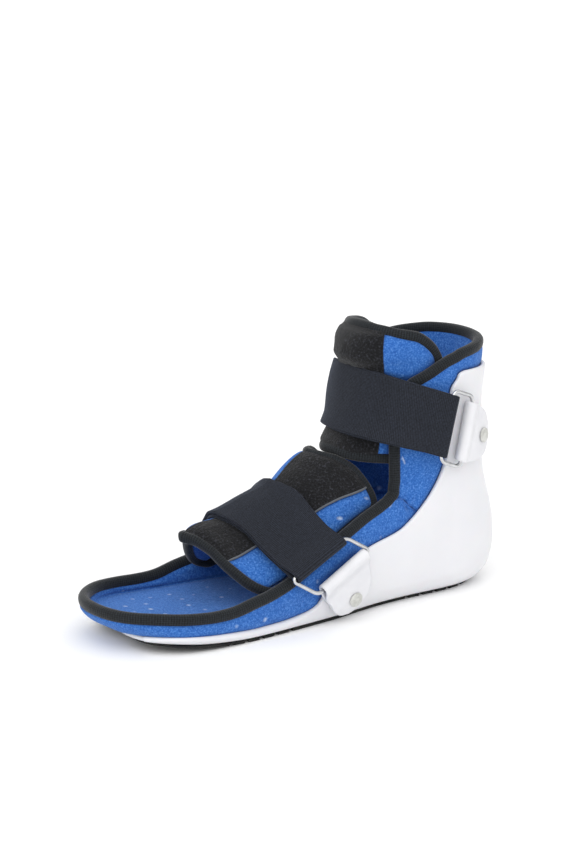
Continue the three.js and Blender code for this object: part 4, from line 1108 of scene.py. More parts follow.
@dataclass
class Liner:
    """The padded liner: a bowl round the foot, a wrap round the ankle, and its bound edge."""

    form: Form
    maker: Maker
    rows: int = 44
    flat_rows: int = 14
    crown: float = 0.9              # how far the pile stands out between the sewn edges
    crease_pitch: float = 6.5       # along the seam, from one crease to the next
    crease_reach: float = 4.5       # how far off the seam a crease fades
    seam_half: float = 2.2          # half the width of the sewn groove
    bowl_groove: float = 1.9
    wrap_groove: float = 2.5
    wrap_crease: float = 1.5
    creased_at: float = 34.0        # in front of the ankle, with its half length
    creased_half: float = 16.0
    tape_thick: float = 6.4

    @property
    def binding_room(self) -> float:
        """Return the room that the bound edge takes from a cloth edge."""
        return self.form.binding_width / 2 - 0.6

    def rim_x(self, place: Array) -> Array:
        """Return where along the boot a rib meets the rim."""
        f = self.form
        first = f.point(place, np.ones_like(place))[..., 0]
        return f.point(place, f.level_of(f.rim_height(first)))[..., 0]

    def bowl_top(self, place: Array) -> Array:
        """Return the height of the bowl's upper edge at each place."""
        f = self.form
        x = self.rim_x(place)
        slope = (f.rim_height(x + 1) - f.rim_height(x - 1)) / 2
        rim = f.rim_height(x) - self.binding_room * np.hypot(1, slope)
        seam = f.seam_height(place)
        return np.where(place > 1.15, np.where(place < 1.235, np.minimum(rim, seam), rim), seam)

    def bowl(self, finish: Material) -> Piece:
        """Build the padded bowl round the foot."""
        f = self.form
        places = ring_of(RIBS)
        top = f.level_of(self.bowl_top(np.abs(places)))
        flat = np.linspace(-1, 0, self.flat_rows + 1)[None, :-1]
        level = np.concatenate([np.broadcast_to(flat, (len(places), self.flat_rows)),
                                f.level_rows(top, np.linspace(0, 1, self.rows))], axis=1)
        at = np.broadcast_to(places[:, None], level.shape)
        outer = f.skin(at, level, 0.0)
        inner = f.lining(at, level)
        # puffed above the shell's edge, drawn in again at the binding and the seam
        shell = f.level_of(f.shell_height(np.abs(places)))[:, None]
        above = np.clip((level - shell) / 0.03, 0, 1) * np.clip((top[:, None] - level) / 0.035,
                                                                 0, 1)
        puff = np.sqrt(np.clip(above, 0, 1)) * self.crown
        wave = ripple(outer, 23, 0.4) * 0.35 * np.clip(above * 2, 0, 1)
        run_x = f.ankle_x - outer[..., 0]
        to_top = (top[:, None] - level) * f.level_run
        front = np.clip(1 - np.abs(run_x - self.creased_at) / self.creased_half, 0, 1)
        groove = self.bowl_groove * np.exp(-(to_top / self.seam_half) ** 2)
        crease = np.sin(run_x / self.crease_pitch * 2 * math.pi)
        wave = wave - np.clip(above * 2, 0, 1) * front * (
            groove + crease * np.exp(-to_top / self.crease_reach))
        outer = outer + f.normal(at, level) * (puff + wave)[..., None]
        inside = np.clip((level - 0.4) / 0.3, 0, 1) * np.clip((top[:, None] - level) / 0.03, 0, 1)
        inner = inner - f.normal(at, np.maximum(level, 0.01)) * (
            inside * (0.7 + 0.35 * ripple(inner, 19, 1.1)))[..., None]
        inner[..., 2] += np.clip(-level * 3, 0, 1) * ripple(inner, 31, 2.2) * 0.35
        obj = self.maker.shell_of("liner_bowl", outer, inner, Slot.LINER, finish, ring=True,
                                  bowl=True, flat=self.flat_rows)
        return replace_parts(obj, "liner_foot")

    def collar(self, finish: Material) -> Piece:
        """Build the padded wrap round the ankle."""
        f = self.form
        w, v = np.linspace(-1, 1, 320)[:, None], np.linspace(0, 1, 84)[None]
        reach = f.ankle_x - f.ball_x

        def edge_at(z: Array) -> Array:
            """Return the place of the wrap's front edge at a height."""
            return f.front_place(np.maximum(z, f.corner_height)) - self.binding_room / reach

        low_guess = f.seam_height(np.abs(w) * 1.2)
        high_guess = f.collar_top(np.abs(w) * 1.2)
        z = low_guess + (high_guess - low_guess) * v
        for _ in range(6):
            p = np.abs(w) ** 0.85 * edge_at(z)
            low = f.seam_height(p) + f.layer_gap
            slope = (f.collar_top(p + 0.01) - f.collar_top(p - 0.01)) / 0.02 / reach
            high = f.collar_top(p) - self.binding_room * np.hypot(1, slope)
            z = low + (high - low) * v
        place = np.sign(w) * p
        level = f.level_of(z)
        bulge = swell(v, 0.1) * swell((w + 1) / 2, 0.06)
        hidden = np.clip((z - f.shell_height(p)) / 3, 0, 1)
        outer = f.skin(place, level, 0.0)
        n = f.normal(place, level)
        # creases where the wrap is sewn to the bowl, in front of the ankle
        near = np.exp(-(z - low) / self.crease_reach) * np.clip((p - 1.04) / 0.08, 0, 1)
        pleat = np.sin(p * reach / self.crease_pitch * 2 * math.pi + z * 0.4) * near
        pleat = pleat * self.wrap_crease \
            - self.wrap_groove * np.exp(-((z - low) / self.seam_half) ** 2)
        lift = bulge * (self.crown + 0.3 * ripple(outer, 21, 0.9)) * hidden + pleat * hidden
        outer = outer + n * lift[..., None]
        inner = f.skin(place, level, -f.liner_wall)
        inner = inner - n * (bulge * (0.9 + 0.4 * ripple(inner, 18, 2.9)))[..., None]
        obj = self.maker.shell_of("liner_wrap", outer, inner, Slot.LINER, finish)
        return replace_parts(obj, "liner_collar")

    def edge_run(self) -> tuple:
        """Return the bound edge's closed run and its outward directions."""
        f = self.form
        toe = np.array([3, 2.9, 2.8, 2.7, 2.6, 2.5, 2.4, 2.3, 2.2, 2.1, 2, 1.92, 1.84, 1.79, 1.74,
                        1.7, 1.665, 1.625, 1.605, 1.575, 1.52, 1.485, 1.452, 1.42, 1.387, 1.35,
                        1.31, 1.28, 1.262])
        half = [(p, float(f.rim_height(self.rim_x(np.array([p])))[0])) for p in toe]
        for share in (0.458, 0.475, 0.5, 0.53, 0.57, 0.61, 0.65, 0.7, 0.74, 0.78, 0.81, 0.832):
            z = share * f.collar_height
            half.append((float(f.front_place(z)), z))
        for p in (1.188, 1.165, 1.133, 1.1, 1.06, 1.02, 0.97, 0.9, 0.78, 0.64, 0.48, 0.32, 0.16):
            half.append((p, float(f.collar_top(p))))
        run = [(-p, z) for p, z in half] + [(0.0, f.collar_height)] + half[1:][::-1]
        place = np.array([p for p, _ in run])
        level = f.level_of(np.array([z for _, z in run]))
        points = f.skin(place, level, -f.liner_wall / 2)
        return smooth_run(points, f.normal(place, level), 1.1)

    def binding(self, finish: Material) -> Piece:
        """Build the knit tape folded over the liner's edge."""
        path, normals = self.edge_run()
        section = tape_section(self.form.binding_width + 0.4, self.tape_thick, 18)
        obj = self.maker.tape("liner_edge_tape", path, normals, section, Slot.BINDING, finish)
        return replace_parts(obj, "edge_binding")


def tape_section(wide: float, thick: float, sides: int) -> Array:
    """Return the oval of a tape folded over an edge, squarer than a circle.

    Args:
        wide: Width along the cloth's surface.
        thick: Thickness through the cloth.
        sides: Points round the section.

    Returns:
        Pairs beside and out.
    """
    turn = (np.arange(sides) + 0.5) / sides * 2 * math.pi
    c, s = np.cos(turn), np.sin(turn)
    r = (np.abs(c) ** 2.5 + np.abs(s) ** 2.5) ** (-1 / 2.5)
    return np.stack([s * r * wide / 2, c * r * thick / 2], axis=1)


@dataclass
class Pad:
    """A padded tongue with its bound edge and its loop patch, on a surface of its own kind.

    A kind of pad gives point, core, patch_edges and edge, and the tracks low and high of its
    two edges by the share out from its middle.
    """

    form: Form
    maker: Maker
    name: str = ""
    wall: float = 4.5
    step_in: float = 1.8            # how far the pad lies inside the liner
    patch_wall: float = 1.2
    tape_wide: float = 6.4
    tape_thick: float = 6.6
    tape_grow: tuple = (0.4, 0.5)   # added to the tape's width and thickness for its nap
    cloth_half: float = 1.0
    cloth_steps: tuple = (110, 72)
    inside: float = 1.0             # how far out the cloth reaches, as a share
    pressed: float = 0.08           # how fast the cloth swells beside the patch
    crowns: tuple = (0.12, 0.07)
    free_wave: tuple = (17.0, 0.2)
    back_full: float = 1.2
    back_seed: float = 1.9
    patch_steps: tuple = (70, 90)
    patch_over: float = 0.025
    patch_crown: float = 0.05
    patch_seed: float = 0.8

    @staticmethod
    def seam_room(track: Track, part: Array, run: float) -> Array:
        """Return how much longer an edge's room is where the edge runs slantwise."""
        return np.hypot(1, (track(part + 0.01) - track(part - 0.01)) / (0.02 * run))

    def grid(self, w: Array, v: Array) -> tuple:
        """Return the places of the pad's cloth inside its tape.

        Args:
            w: -1 to 1 across the pad.
            v: 0 to 1 along it.

        Returns:
            The surface's two coordinates.
        """
        part = np.abs(w) * self.inside
        room = (self.tape_wide / 2 - 0.4) / self.span
        low = self.low(part) + room * self.seam_room(self.low, part, self.side_run)
        high = self.high(part) - room * self.seam_room(self.high, part, self.side_run)
        return np.sign(w) * part * self.half_turn, low + (high - low) * v

    def raised(self, at: tuple, lift: Array) -> Array:
        """Return points raised off the pad's skin."""
        return lifted(self.point, self.core, *at, lift)

    def cloth(self, finish: Material) -> Piece:
        """Build the padded cloth, held flat where the patch presses on it."""
        half = self.cloth_half
        w = np.linspace(-half, half, self.cloth_steps[0])[:, None]
        v = np.linspace(0, 1, self.cloth_steps[1])[None]
        at = self.grid(w, v)
        skin = self.point(*at)
        full = swell(v + 0 * w, self.crowns[0]) * swell((w + half) / (2 * half) + 0 * v,
                                                        self.crowns[1])
        low, high = self.patch_edges(v)
        free = np.clip(np.maximum(low - w, w - high) / self.pressed, 0, 1)
        outer = self.raised(at, full * free * (1.3 + 0.35 * ripple(skin, *self.free_wave)))
        inner = self.raised(at, -self.wall - full * (
            self.back_full + 0.4 * ripple(skin, 19, self.back_seed)))
        obj = self.maker.shell_of(f"{self.name}_pad_cloth", outer, inner, Slot.LINER, finish)
        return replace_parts(obj, f"{self.name}_pad")

    def patch(self, finish: Material) -> Piece:
        """Build the loop patch sewn over the pad."""
        v = np.linspace(-self.patch_over, 1 + self.patch_over, self.patch_steps[1])[None]
        low, high = self.patch_edges(v)
        w = low + (high - low) * np.linspace(0, 1, self.patch_steps[0])[:, None]
        at = self.grid(w / self.inside, v)
        skin = self.point(*at)
        nap = (0.1 * ripple(skin, 2.3, self.patch_seed)
               + 0.12 * ripple(skin, 9, self.patch_seed - 0.7))
        crown = 0.35 + 0.65 * swell(v + 0 * w, self.patch_crown)
        outer = self.raised(at, 0.35 + (self.patch_wall + nap) * crown)
        inner = self.raised(at, np.full(w.shape, 0.15))
        obj = self.maker.shell_of(f"{self.name}_loop_patch_cloth", outer, inner, Slot.LOOP,
                                  finish)
        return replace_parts(obj, f"{self.name}_loop_patch")

    def tape(self, finish: Material) -> Piece:
        """Build the tape round the pad's edge."""
        half = self.edge()
        at = tuple(np.array(half + [(-a, b) for a, b in half[1:-1][::-1]]).T)
        path = self.raised(at, np.full(at[0].shape, -self.wall / 2))
        path, normals = smooth_run(path, facing(self.point, self.core, *at), 1.1)
        section = tape_section(self.tape_wide + self.tape_grow[0],
                               self.tape_thick + self.tape_grow[1], 18)
        obj = self.maker.tape(f"{self.name}_pad_tape", path, normals, section, Slot.BINDING,
                              finish)
        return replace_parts(obj, f"{self.name}_pad_binding")


@dataclass
class ShinPad(Pad):
    """The shin pad, placed by degrees from the front and by share of its height."""

    name: str = "shin"
    reach: float = 66.0
    top: float = 170.0
    base: float = 95.0
    half_turn: float = 82.0
    inside: float = 0.885
    crest_lean: float = 0.0016      # how much lower the crest lies for each degree round
    crest_end: float = 45.0
    power: float = 2.3
    patch_share: float = 0.346      # half the patch's sweep, as a share of the pad's

    def __post_init__(self) -> None:
        """Set up the tables' curves."""
        front = [(0, 0.985), (0.08, 0.935), (0.15, 0.87), (0.22, 0.805), (0.32, 0.755),
                 (0.5, 0.705), (0.69, 0.665), (0.78, 0.755), (0.86, 0.79), (0.93, 0.76),
                 (1, 0.665)]
        edges = [(0, 1.0, 0), (0.3, 0.99, -0.035), (0.5, 0.965, -0.055), (0.66, 0.935, -0.07),
                 (0.8, 0.87, -0.06), (0.9, 0.79, -0.03), (0.96, 0.7, 0.02), (1, 0.56, 0.12)]
        crest = [(0, 0), (0.655, 0), (0.7, 5.6), (0.74, 6.2), (0.78, 5.0), (0.82, 2.8),
                 (0.87, 0.8), (0.92, 0.2), (1, 0)]
        self.front = Track(front, 0, 1, 1, self.reach)
        self.crest = Track(crest, 0, 1)
        self.high = Track(edges, 0, 1)
        self.low = Track(edges, 0, 2)
        self.span = self.top - self.base
        self.side_run = math.radians(self.half_turn) * self.reach * 0.63 / self.span
        self.half_width = self.form.ankle_half_width - self.form.liner_wall - self.step_in

    def point(self, turn: Array, rise: Array) -> Array:
        """Return points of the pad's outer skin."""
        turn, rise = pair(turn, rise)
        a = np.radians(turn)
        lean = self.crest_lean * np.minimum(np.abs(turn), self.crest_end)
        r = super_radius(np.cos(a), np.sin(a), self.front(rise) + self.crest(rise + lean),
                         self.half_width, self.power)
        return np.stack([self.form.ankle_x - r * np.cos(a), r * np.sin(a),
                         self.base + self.span * rise], axis=-1)

    def core(self, turn: Array, rise: Array) -> Array:
        """Return points on the leg's axis, level with the pad's."""
        turn, rise = pair(turn, rise)
        return np.stack([np.full_like(rise, self.form.ankle_x), np.zeros_like(rise),
                         self.base + self.span * rise], axis=-1)

    def patch_edges(self, v: Array) -> tuple:
        """Return the loop patch's two edges across the pad."""
        return -self.patch_share + 0 * v, self.patch_share + 0 * v

    def edge(self) -> list:
        """Return half of the bound edge, from the middle of the top to that of the base."""
        s = np.concatenate([np.linspace(0, 0.84, 12), [0.88, 0.92, 0.95, 0.975, 0.99]])
        return ([(a * self.half_turn, float(self.high(a))) for a in s]
                + [(self.half_turn, r) for r in (0.53, 0.42, 0.3, 0.19)]
                + [(a * self.half_turn, float(self.low(a))) for a in s[::-1]])


@dataclass
class InstepPad(Pad):
    """The instep pad, placed by shares across the foot and along the pad."""

    name: str = "instep"
    peak_y: float = 8.0
    front_x: float = -75.0
    length: float = 111.0
    height: float = 102.0
    tuck: float = 9.0
    half_turn: float = 1.0
    tape_wide: float = 6.0
    tape_grow: tuple = (-0.6, 0.3)
    cloth_half: float = 0.91
    cloth_steps: tuple = (110, 110)
    pressed: float = 0.06
    crowns: tuple = (0.09, 0.08)
    free_wave: tuple = (19.0, 0.7)
    back_full: float = 1.1
    back_seed: float = 2.4
    patch_steps: tuple = (90, 120)
    patch_over: float = 0.015
    patch_crown: float = 0.04
    patch_seed: float = 1.8

    def __post_init__(self) -> None:
        """Set up the tables' curves."""
        dorsum = [(0, 0.545), (0.12, 0.58), (0.2, 0.585), (0.4, 0.645), (0.55, 0.7),
                  (0.63, 0.77), (0.703, 0.842), (0.80, 0.91), (0.89, 0.955), (1, 1.0)]
        arches = [(0, 0, 1, 0, 1), (0.15, 0.13, 0.965, 0.16, 0.985),
                  (0.35, 0.33, 0.82, 0.38, 0.92), (0.55, 0.54, 0.62, 0.60, 0.74),
                  (0.75, 0.76, 0.44, 0.80, 0.47), (0.9, 0.92, 0.28, 0.93, 0.23),
                  (1, 0.985, 0.12, 0.985, 0.08), (1.1, 1.0, -0.05, 1.0, -0.08)]
        edges = [(0, 0.01, 0.82), (0.2, 0.045, 0.84), (0.4, 0.095, 0.895), (0.6, 0.14, 0.965),
                 (0.8, 0.2, 1.025), (0.9, 0.25, 1.04), (1, 0.32, 1.03)]
        lateral = [(0, -0.56), (0.2, -0.55), (0.5, -0.62), (0.8, -0.73), (1, -0.79)]
        medial = [(0, -0.02), (0.5, 0.0), (1, 0.05)]
        self.dorsum = Track(dorsum, 0, 1, 1, self.height)
        self.arches = [Track(arches, 0, k) for k in (1, 2, 3, 4)]
        self.low = Track(edges, 0, 1)
        self.high = Track(edges, 0, 2)
        self.patch_sides = Track(lateral, 0, 1), Track(medial, 0, 1)
        self.span = self.length
        self.side_run = self.form.ball_half_width * 1.25 / self.length
        self.inset = self.form.liner_wall + self.step_in + self.form.layer_gap * 4

    def arch(self, across: Array, along: Array, half: Array, top: Array, base: Array) -> Array:
        """Return points of one arch over the foot.

        Args:
            across: -1 at the little-toe side, 0 at the peak, 1 at the big-toe side.
            along: Share of the length from the toe end.
            half: Half width at the arch's foot.
            top: Height of its peak.
            base: Height of its foot.

        Returns:
            The points.
        """
        side = np.where(across < 0, -1.0, 1.0)
        part = np.abs(across)
        share = np.clip(along, 0, 1)
        reach = mix(self.arches[0](part), self.arches[2](part), share)
        rise = mix(self.arches[1](part), self.arches[3](part), share)
        y = self.peak_y + side * reach * (half - side * self.peak_y)
        return np.stack([self.front_x + along * self.length, y, mix(base, top, rise)], axis=-1)

    def point(self, across: Array, along: Array) -> Array:
        """Return points of the pad's outer skin."""
        across, along = pair(across, along)
        x = self.front_x + along * self.length
        rim = self.form.rim_height(x)
        return self.arch(across, along, self.form.half_width(x, rim) - self.inset,
                         self.dorsum(along), rim - self.tuck)

    def core(self, across: Array, along: Array) -> Array:
        """Return points on the ground under the middle of the foot."""
        across, along = pair(across, along)
        x = self.front_x + along * self.length
        return np.stack([x, np.zeros_like(x), np.zeros_like(x)], axis=-1)

    def patch_edges(self, v: Array) -> tuple:
        """Return the loop patch's two edges across the pad, wider toward the ankle."""
        return tuple(side(v) for side in self.patch_sides)

    def edge(self) -> list:
        """Return half of the bound edge, from the middle at the toes to that at the ankle."""
        parts = [0, 0.1, 0.2, 0.3, 0.4, 0.5, 0.6, 0.7, 0.8, 0.88, 0.94]
        low, high = float(self.low(1.0)), float(self.high(1.0))
        return ([(p, float(self.low(p))) for p in parts]
                + [(0.985, mix(low, high, t)) for t in (0.02, 0.15, 0.32, 0.5, 0.68, 0.85, 0.98)]
                + [(p, float(self.high(p))) for p in parts[::-1]])


@dataclass
class Gauge:
    """A band's wall, and where its layers lie off its surface and round a wire."""

    wall: float
    wire: float
    gap: float

    @property
    def turn(self) -> float:
        """Return the radius of the band's middle round the bar."""
        return self.wire / 2 + self.gap * 2 + self.wall / 2

    @property
    def bar(self) -> float:
        """Return how far the bar's middle is off the surface."""
        return self.wall + self.gap * 2 + self.wire / 2

    @property
    def back(self) -> float:
        """Return how far the upper layer's middle is off the surface."""
        return self.wall * 1.5 + self.gap * 1.5


@dataclass
class Band:
    """A flat band that goes round a ring's bar and comes back over itself."""

    surface: Surface
    core: Surface
    gauge: Gauge
    bar: float
    plain_end: float
    tail: float
    settle: float = 0.12

    def to_bar(self, k: Array) -> Array:
        """Return how far the surface's line at the bar is from the straight bar."""
        lift = np.full(k.shape, self.gauge.bar)
        at = np.full(k.shape, self.bar)
        ends = [lifted(self.surface, self.core, at, 0 * k + e, lift) for e in (-0.5, 0.5)]
        line = ends[0] + (ends[1] - ends[0]) * (k + 0.5)[..., None]
        return line - lifted(self.surface, self.core, at, k, lift)

    def near(self, at: Array, end: float) -> Array:
        """Return how closely the band follows the straight bar at each station."""
        t = np.clip(1 - np.abs(at - self.bar) / abs(end - self.bar) / (self.settle * 1.5), 0, 1)
        return t * t * (3 - 2 * t)

    def stations(self, inner: int, outer: int) -> Array:
        """Return stations from the plain end, round the bar, and back to the tail.

        Args:
            inner: Steps along the inner layer.
            outer: Steps along the outer layer.

        Returns:
            A row for each: place, lift, bend round the bar (negative for none) and facing.
        """
        g = self.gauge
        rows = [(mix(self.plain_end, self.bar, t), g.wall / 2, -1, 1)
                for t in np.linspace(0, 1, inner + 1)]
        rows += [(self.bar, 0, t * math.pi, 1) for t in np.linspace(0, 1, 12)[1:-1]]
        for t in np.linspace(0, 1, 10):
            share = 0.5 + 0.5 * math.cos(math.pi * t)
            rows.append((mix(self.bar, self.tail, t * self.settle),
                         mix(g.back, g.bar + g.turn, share), -1, -1))
        settled = mix(self.bar, self.tail, self.settle)
        rows += [(mix(settled, self.tail, t), g.back, -1, -1)
                 for t in np.linspace(0, 1, outer + 1)[1:]]
        return np.array(rows, float)

    def skins(self, inner: int, outer: int, across: int, wave: float) -> tuple:
        """Return the band's two skins as grids, across by along.

        Args:
            inner: Steps along the inner layer.
            outer: Steps along the outer layer.
            across: Steps across the band.
            wave: How far the free cloth wavers, in millimetres.

        Returns:
            Outer and inner grids.
        """
        g = self.gauge
        at, lift, bend, face = self.stations(inner, outer).T
        a, k = np.meshgrid(at, np.linspace(-0.5, 0.5, across))
        n = facing(self.surface, self.core, a, k)
        base = self.surface(a, k)
        near = self.near(a, self.tail)
        base = base + self.to_bar(k) * near[..., None]
        rise = lift + wave * (1 - near) * ripple(base, 27, 0.5) * (face < 0)
        flat = base + n * rise[..., None]
        way = 1.0 if self.bar > self.plain_end else -1.0
        ahead = unit(self.surface(a + 0.002, k) - self.surface(a - 0.002, k)) * way
        away = unit(ahead * np.sin(bend)[:, None] - n * np.cos(bend)[:, None])
        turned = (bend >= 0)[None, :, None]
        centre = np.where(turned, base + n * g.bar + away * g.turn, flat)
        out = np.where(turned, -away, n * face[:, None])
        return centre + out * g.wall / 2, centre - out * g.wall / 2

    def build(self, maker: Maker, name: str, steps: tuple, wave: float, slot: Slot,
              finish: Material) -> Piece:
        """Build the band as one closed sheet.

        Args:
            maker: What makes the mesh.
            name: The piece's name.
            steps: Steps along the inner layer, along the outer one and across.
            wave: How far the free cloth wavers, in millimetres.
            slot: The record's material slot.
            finish: The material.

        Returns:
            The new object.
        """
        outer, inner = (np.swapaxes(s, 0, 1) for s in self.skins(*steps, wave))
        return maker.shell_of(name, outer, inner, slot, finish)

    def bar_line(self) -> tuple:
        """Return the middle and direction of the straight bar."""
        ends = [lifted(self.surface, self.core, np.array([self.bar]), np.array([e]),
                       np.array([self.gauge.bar]))[0] for e in (0.5, -0.5)]
        return (ends[0] + ends[1]) / 2, unit(ends[0] - ends[1])


@dataclass
class Straps:
    """The two elastic straps."""

    form: Form
    maker: Maker
    shin: ShinPad
    instep: InstepPad
    width: float = 38.5
    wall: float = 1.9
    wire: float = 3.0
    clearance: float = 0.8
    standoff: float = 1.6
    ankle_rise: float = 0.37
    ankle_height: float = 108.0
    ankle_bar: float = -75.0
    ankle_tail: float = 58.0
    ankle_end: float = 127.0
    lean: float = 0.15
    power: float = 2.5
    drawn_at: float = 38.0          # degrees round the leg where the pull draws it in
    drawn_wide: float = 30.0
    drawn_top: float = 2.6
    drawn_low: float = 5.8
    drawn_mid: float = 2.6          # how much less the strap's middle is drawn in
    flare: float = 3.5              # how much wider the instep strap lies over the crest
    bow: float = 4.5                # how far its little-toe side bows towards the ankle
    bow_at: float = -0.4
    snug: float = 0.8               # how closely its other side follows the pad
    press: float = 0.78             # how much of the room over the pad it takes at the peak
    instep_bar: float = -0.9
    instep_tail: float = 0.5
    instep_end: float = 1.75
    drop: float = 34.0
    slant: float = 0.15

    def __post_init__(self) -> None:
        """Set up the straps' run and their bands."""
        self.over_pad = self.shin.patch_wall + self.form.layer_gap * 4
        path = [(0, 0.385), (0.4, 0.415), (0.8, 0.51), (1.1, 0.62), (1.6, 0.78), (2, 0.88)]
        self.path = Track(path, 0, 1)
        gauge = Gauge(self.wall, self.wire, self.form.layer_gap)
        self.ankle = Band(self.ankle_point, self.ankle_core, gauge, self.ankle_bar,
                          self.ankle_end, self.ankle_tail)
        self.foot = Band(self.instep_point, self.instep_core, gauge, self.instep_bar,
                         self.instep_end, self.instep_tail)

    def ankle_point(self, turn: Array, k: Array) -> Array:
        """Return points of the surface under the ankle strap."""
        turn, k = pair(turn, k)
        f = self.form
        a = np.radians(turn * (1 + self.lean * k * np.clip(np.abs(turn) / 80, 0, 1) ** 2))
        cos, sin = np.cos(a), np.sin(a)
        side = float(f.half_width(f.ankle_x, self.ankle_height)) + f.skin_to_shell \
            + self.clearance * 2.5
        level = self.ankle_height + k * self.width
        middle = np.where(cos > 0, float(self.shin.front(0.5)),
                          float(f.back_reach(self.ankle_height)))
        z = level + self.ankle_rise * super_radius(cos, sin, middle, side, self.power) * cos
        front = self.shin.front((z - self.shin.base) / self.shin.span) + self.over_pad
        back = f.back_reach(z) + f.skin_to_shell + self.clearance
        r = super_radius(cos, sin, np.where(cos > 0, front, back), side, self.power)
        corner = np.exp(-((turn - self.drawn_at) / self.drawn_wide) ** 2)
        r = r - corner * (mix(self.drawn_top, self.drawn_low, 0.5 - k)
                          - self.drawn_mid * (1 - 4 * k ** 2))
        return np.stack([f.ankle_x - r * cos, r * sin, z], axis=-1)

    def ankle_core(self, turn: Array, k: Array) -> Array:
        """Return the point on the leg's axis that the ankle strap goes round."""
        turn, k = pair(turn, k)
        one = np.ones_like(turn)
        return np.stack([one * self.form.ankle_x, one * 0, one * self.ankle_height], axis=-1)

    def instep_point(self, across: Array, k: Array) -> Array:
        """Return points of the surface under the instep strap."""
        across, k = pair(across, k)
        f, pad = self.form, self.instep
        part = np.abs(across)
        over = np.clip(part, 0, 1)
        shift = (self.flare * np.exp(-((across - 0.1) / 0.4) ** 2) * (k + 0.5)
                 + self.bow * np.exp(-((across - self.bow_at) / 0.28) ** 2))
        along = (self.path(part)
                 + (k * self.width * (1 - self.slant * over) + shift) / pad.length)
        x = pad.front_x + along * pad.length
        base = f.rim_height(x) - pad.tuck
        clear = f.skin_to_shell + self.clearance + np.where(part > 1, 0, self.standoff)
        half = f.half_width(x, base) + clear
        snug = self.snug * np.exp(-((across - 0.25) / 0.3) ** 2)
        half = mix(half, half - clear - pad.inset + self.over_pad * 1.3, snug)
        side = np.sign(across)
        p = pad.arch(side * over, along, half, pad.dorsum(along) + self.over_pad * self.press, base)
        z = p[..., 2] - np.maximum(part - 1, 0) * self.drop
        y = side * (f.half_width(x, z) + clear - (half - np.abs(p[..., 1]))
                    * np.clip(2 - part, 0, 1))
        p[..., 1] = np.where(part > 1, y, p[..., 1])
        p[..., 2] = z
        return p

    def instep_core(self, across: Array, k: Array) -> Array:
        """Return a point inside the foot's space below the instep strap."""
        p = self.instep_point(across, k)
        return np.stack([p[..., 0], np.full_like(p[..., 0], self.instep.peak_y * 0.5),
                         p[..., 2] - self.instep.height * 0.25], axis=-1)

    def build(self) -> None:
        """Build both straps."""
        finish = ElasticWeb().make()
        for name, band in (("ankle_strap", self.ankle), ("instep_strap", self.foot)):
            obj = band.build(self.maker, f"{name}_web", (110, 80, 26), 0.25, Slot.STRAP, finish)
            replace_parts(obj, name)


@dataclass
class Tab:
    """A vinyl strip folded round a ring's bar and riveted to the shell."""

    form: Form
    x: float
    z: float
    dx: float
    dz: float
    bx: float
    bz: float
    length: float
    rivet: float
    width: float = 35.0
    seat: float = 0.81

    def __post_init__(self) -> None:
        """Set up the strip's outline."""
        rows = [(-0.3, 1), (0.1, 1), (0.55, 0.86), (0.8, 0.66), (0.93, 0.46), (1, 0.26)]
        self.outline = Track(rows, 0, 1, self.length, self.width)

    def point(self, run: Array, k: Array) -> Array:
        """Return points of the shell under the tab, by run from the bar and share across."""
        run, k = pair(run, k)
        f = self.form
        w = k * self.outline(run)
        px = self.x + self.dx * run + self.bx * w
        pz = self.z + self.dz * run + self.bz * w
        radius = f.half_width(f.ankle_x, pz) * 1.03
        behind = 1 - np.minimum(0.95, (px - f.ankle_x) / (radius * math.pi / 2))
        place = np.where(px > f.ankle_x, behind, f.place_of(px))
        return f.skin(-place, f.level_of(pz), f.skin_to_shell + self.seat)

    def core(self, run: Array, k: Array) -> Array:
        """Return the points' feet on the boot's middle plane."""
        return self.point(run, k) * np.array([1.0, 0.0, 1.0])

    def band(self, wall: float) -> Band:
        """Return the strip as a band from its end to the bar and back."""
        return Band(self.point, self.core, Gauge(wall, 3.0, self.form.layer_gap), 0.0,
                    self.length, self.length, 0.3)


